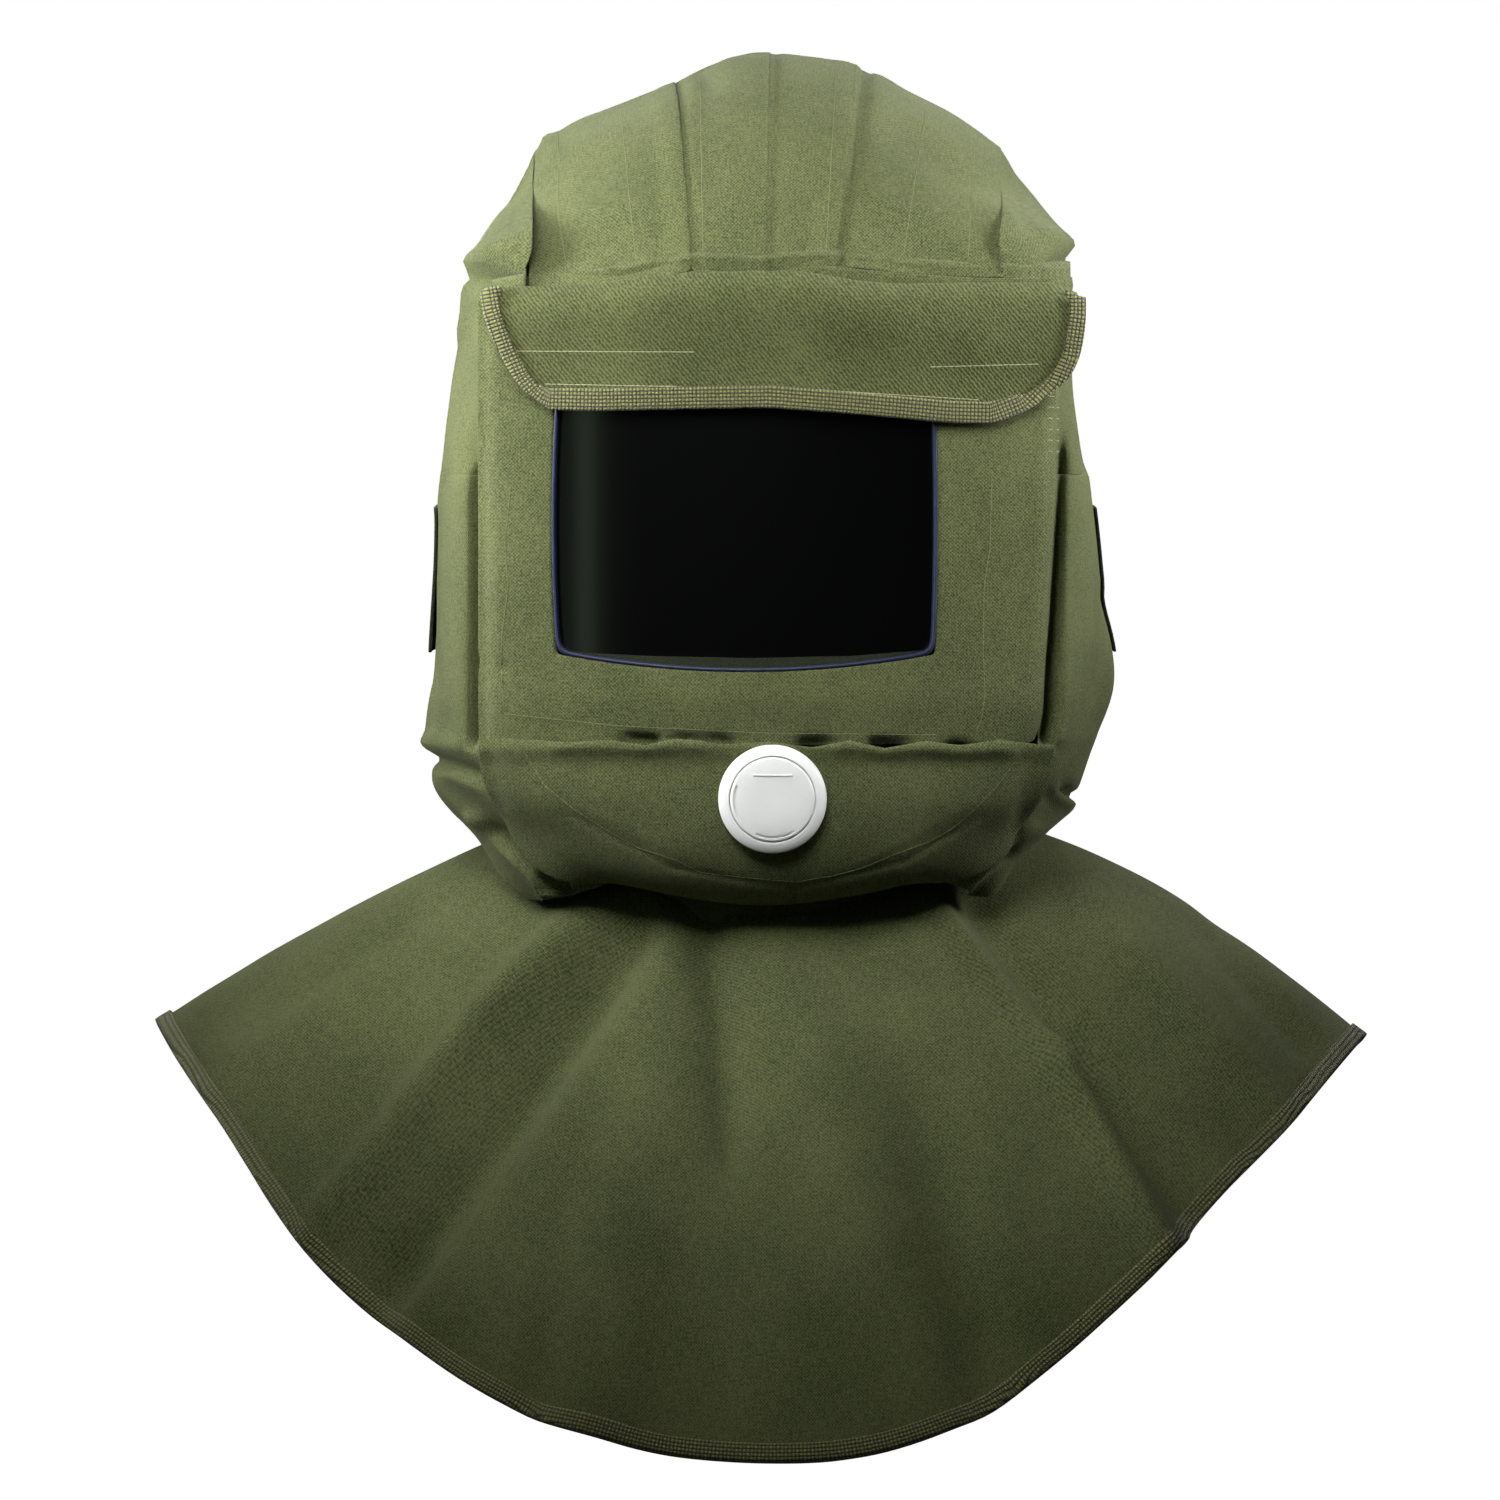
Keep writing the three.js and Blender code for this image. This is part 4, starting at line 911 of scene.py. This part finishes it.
def turned(name, profile, steps=96, angle=360.0, ring=True):
    """A profile of radius and height in millimetres, turned round Z; one that isn't a ring starts
    and ends on the axis."""
    mesh = bpy.data.meshes.new(name)
    count = len(profile)
    edges = [(k, (k + 1) % count) for k in range(count if ring else count - 1)]
    mesh.from_pydata([(r * MM, 0, h * MM) for r, h in profile], edges, [])
    obj = add_object(name, mesh)
    screw = obj.modifiers.new("turn", "SCREW")
    screw.angle = math.radians(angle)
    screw.steps = screw.render_steps = steps
    screw.use_merge_vertices = True
    screw.merge_threshold = 0.00001
    screw.use_normal_calculate = True
    apply_modifiers(obj)
    bpy.ops.object.mode_set(mode="EDIT")
    bpy.ops.mesh.select_all(action="SELECT")
    bpy.ops.mesh.remove_doubles(threshold=0.00001)
    if angle < 360:
        bpy.ops.mesh.fill_holes(sides=0)
    bpy.ops.mesh.select_all(action="SELECT")
    bpy.ops.mesh.normals_make_consistent(inside=False)
    bpy.ops.object.mode_set(mode="OBJECT")
    return obj


def bevelled(obj, width, segments=3):
    modifier = obj.modifiers.new("bevel", "BEVEL")
    modifier.width = width * MM
    modifier.segments = segments
    modifier.limit_method = "ANGLE"
    modifier.angle_limit = math.radians(35)
    apply_modifiers(obj)


base = turned(
    "valve_rim",
    [
        (12, -9), (14, -9), (14, 0.3), (22.3, 0.3), (22.8, 0.8), (22.8, 2.8), (22.3, 3.8),
        (20.0, 5.1), (18.5, 5.7), (18.1, 5.4), (18.0, 4.6), (18.0, 2.3), (12, 2.3),
    ],
)
bevelled(base, 0.3)
on_valve(base)
finish_piece(base, white, "white_plastic", "valve_base")
cap = turned(
    "valve_disc",
    [(0, 2.6), (17.7, 2.6), (17.8, 5.7), (17.3, 6.4), (16.6, 6.6), (9, 6.6), (0, 6.6)],
    ring=False,
)
for start, span in ((160, 55), (245, 60)):
    slot = turned("slot", [(15.4, 5.2), (16.4, 5.2), (16.4, 7.5), (15.4, 7.5)], 24, span)
    slot.data.transform(Matrix.Rotation(math.radians(start), 4, "Z"))
    cut = cap.modifiers.new("cut", "BOOLEAN")
    cut.object = slot
    cut.operation = "DIFFERENCE"
    apply_modifiers(cap)
    bpy.data.objects.remove(slot)
bevelled(cap, 0.12, 2)
on_valve(cap)
finish_piece(cap, white, "white_plastic", "valve_cap")
bpy.ops.object.select_all(action="DESELECT")
bpy.ops.mesh.primitive_cube_add(size=1)
bar = bpy.context.object
bar.name = "valve_bar"
bar_size = Matrix.Diagonal((16.5 * MM, 0.9 * MM, 0.9 * MM, 1))
bar.data.transform(Matrix.Translation((0, 10.2 * MM, VALVE_TOP)) @ bar_size)
bevelled(bar, 0.25, 3)
on_valve(bar)
finish_piece(bar, white, "white_plastic")
for obj in (base, cap, bar):
    only(obj)
    bpy.ops.object.shade_smooth_by_angle(angle=math.radians(35))
nodes["valve_nut"].data.materials.clear()
nodes["valve_nut"].data.materials.append(white)

# Stitches: one stitch, copied along lines that are laid on the cloth

LOST_TRACK = 6 * MM
bpy.ops.object.select_all(action="DESELECT")
bpy.ops.mesh.primitive_cylinder_add(vertices=6, radius=1, depth=2, end_fill_type="TRIFAN")
stitch = bpy.context.object
bpy.ops.object.mode_set(mode="EDIT")
bpy.ops.mesh.select_all(action="SELECT")
bpy.ops.mesh.bisect(plane_co=(0, 0, 0.45), plane_no=(0, 0, 1))
bpy.ops.mesh.select_all(action="SELECT")
bpy.ops.mesh.bisect(plane_co=(0, 0, -0.45), plane_no=(0, 0, 1))
bpy.ops.object.mode_set(mode="OBJECT")
stitch_points = points_of(stitch)
stitch_faces = [tuple(p.vertices) for p in stitch.data.polygons]
ends = np.abs(stitch_points[:, 2]) > 0.9
stitch_points[ends, :2] *= 0.45
bpy.data.objects.remove(stitch)


def track_on(surfaces, line):
    """Places and normals along a line of pixels, on the first surface that the camera's ray
    meets."""
    track = []
    route = [Vector(p) for p in line]
    for a, b in zip(route[:-1], route[1:]):
        steps = max(1, int((b - a).length / 1.5))
        for k in range(steps):
            p = a.lerp(b, k / steps)
            ray = pixel_ray(p.x, p.y)
            hits = [s.ray_cast(CAMERA_AT, ray) for s in surfaces]
            hits = [h for h in hits if h[0] is not None]
            if hits:
                hit = min(hits, key=lambda h: h[3])
                normal = hit[1] if hit[1].dot(ray) < 0 else -hit[1]
                track.append((hit[0], normal))
    return track


def sewn(name, lines, targets, material, slot, length=2.1, radius=0.24, sink=0.05):
    """Stitches that follow lines of pixels on the cloth."""
    surfaces = [surface_of(t) for t in targets]
    corners, faces = [], []
    for line in lines:
        track = track_on(surfaces, line)
        start = None
        for before, after in zip(track[:-1], track[1:]):
            step = (after[0] - before[0]).length
            if step > LOST_TRACK:
                start = None
                continue
            if start is None:
                start, place = before, 0.0
            place += step
            if place >= length * MM:
                along = after[0] - start[0]
                half = along.length / 2
                centre = (start[0] + after[0]) / 2
                along.normalize()
                side = along.cross((start[1] + after[1]).normalized()).normalized()
                normal = side.cross(along).normalized()
                first = len(corners)
                for x, y, z in stitch_points:
                    lift = y * 0.75 * radius + (1 - z * z) * 0.7 * radius - sink
                    corner = centre + side * (x * radius * MM) + normal * (lift * MM)
                    corners.append(corner + along * (z * half))
                faces += [tuple(first + v for v in f) for f in stitch_faces]
                start = None
    mesh = bpy.data.meshes.new(name)
    mesh.from_pydata(corners, [], faces)
    return finish_piece(add_object(name, mesh), material, slot)


FACE_LINES = [
    [(511, 485), (505, 541), (508, 589), (502, 635), (501, 664), (504, 713)],
    [(504, 714), (620, 726), (760, 733), (940, 735)],
    [(992, 470), (990, 547), (984, 587), (983, 654), (985, 694), (981, 721), (975, 733)],
]
face_stitches = sewn("face_stitches", FACE_LINES, [made["face_panel"]], thread_dark, "canvas")
CHIN_LINES = [
    [(523, 750), (544, 785), (575, 810), (605, 829), (638, 848), (676, 860), (701, 873), (750, 878),
     (795, 882), (832, 876), (862, 868), (901, 852), (929, 842), (955, 827), (977, 807), (998, 785),
     (1018, 757)],
]
chin_stitches = sewn("chin_stitches", CHIN_LINES, [made["chin_panel"]], thread_dark, "canvas")
CROWN_LINES = [
    [(558, 130), (558, 215), (566, 262)], [(620, 104), (636, 262)], [(926, 108), (903, 258)],
    [(975, 132), (968, 262)], [(700, 80), (703, 258)], [(836, 75), (826, 252)],
]
gores = [made[k] for k in made if k.startswith("crown")]
crown_stitches = sewn("crown_stitches", CROWN_LINES, gores, thread_dark, "canvas", 1.7, 0.18)
BARS = [[(1048, y), (1061, y + 1)] for y in range(396, 452, 11)]
beside = [made[k] for k in ("face_panel", "side_upper_right", "side_lower_right")]
edge_bars = sewn("edge_bars", BARS, beside, thread, "canvas", 3.6, 0.22)
FLAP_LINES = [
    [(508, 351), (700, 352)],
    [(930, 367), (1040, 364)],
    [(545, 384), (700, 387), (850, 392), (980, 400)],
]
flap_stitches = sewn("flap_stitches", FLAP_LINES, [made["window_flap"]], thread, "twill")

# Camera, floor and light

camera = bpy.data.objects.new("camera", bpy.data.cameras.new("camera"))
bpy.context.scene.collection.objects.link(camera)
camera.data.lens = 36 * DISTANCE / (PHOTO * PIXEL)
camera.data.clip_end = 5000
camera.location = CAMERA_AT
camera.rotation_mode = "QUATERNION"
camera.rotation_quaternion = (-CAMERA_BACK).to_track_quat("-Z", "Y")
bpy.context.scene.camera = camera
bpy.context.scene.view_settings.view_transform = "Standard"

bpy.ops.object.select_all(action="DESELECT")
bpy.ops.mesh.primitive_plane_add(size=6000, location=(0, 0, -1.1))
floor = bpy.context.object
floor.name = "floor"
pale = plain_material("pale_floor", (0.88, 0.88, 0.87), 0.9, 0.0)
pale_shader = pale.node_tree.nodes["Principled BSDF"]
pale_shader.inputs["Emission Color"].default_value = (1, 1, 0.99, 1)
pale_shader.inputs["Emission Strength"].default_value = 1.0
floor.data.materials.append(pale)
floor.visible_diffuse = False
floor.visible_glossy = False

world = bpy.data.worlds.new("studio")
world.use_nodes = True
studio = Nodes(world.node_tree)
fill = world.node_tree.nodes["Background"]
fill.inputs[0].default_value = (1.0, 1.0, 0.99, 1)
fill.inputs[1].default_value = 0.03
backdrop = studio.add("ShaderNodeBackground")
backdrop.inputs[0].default_value = (1.0, 1.0, 1.0, 1)
seen = studio.add("ShaderNodeMixShader")
studio.link(studio.add("ShaderNodeLightPath").outputs["Is Camera Ray"], seen.inputs[0])
studio.link(fill.outputs[0], seen.inputs[1])
studio.link(backdrop.outputs[0], seen.inputs[2])
studio.link(seen.outputs[0], world.node_tree.nodes["World Output"].inputs[0])
bpy.context.scene.world = world


HEAD = Vector((0, -0.05, -0.10))


def lamp(name, kind, towards, distance, power, size=0.5, tall=None, angle=0.5, at=None, spread=180):
    data = bpy.data.lights.new(name, kind)
    data.energy = power
    if kind == "AREA":
        data.shape = "RECTANGLE"
        data.size = size
        data.size_y = tall or size
        data.spread = math.radians(spread)
    else:
        data.spot_size, data.spot_blend, data.shadow_soft_size = angle, 0.9, 0.25
    obj = bpy.data.objects.new(name, data)
    bpy.context.scene.collection.objects.link(obj)
    direction = Vector(towards).normalized()
    obj.location = (at or HEAD) + direction * distance
    obj.rotation_mode = "QUATERNION"
    obj.rotation_quaternion = direction.to_track_quat("Z", "Y")
    return obj


lamp("key", "AREA", (-1, -0.4, 0.9), 0.7, 2.7, 0.5)
lamp("front", "AREA", (-0.2, -1, 0.45), 0.8, 1.7, 0.4, spread=70)
lamp("left_side", "AREA", (-1, -0.15, 0.15), 0.6, 1.3, 0.3, spread=70)
lamp("right_side", "AREA", (1, -0.05, 0.2), 0.6, 1.0, 0.3, spread=60)
lamp("crown_light", "SPOT", (-0.3, -0.4, 0.9), 1.2, 9, at=Vector((0, -0.05, -0.03)), angle=0.3)
lamp("back", "AREA", (0.25, 1, 0.5), 1.3, 7.0, 0.9)
strip = lamp("strip", "AREA", (-0.62, -1.0, 0.15), 2.6, 1.6, 0.06, 1.6)
strip.data.color = (0.75, 1.0, 0.7)
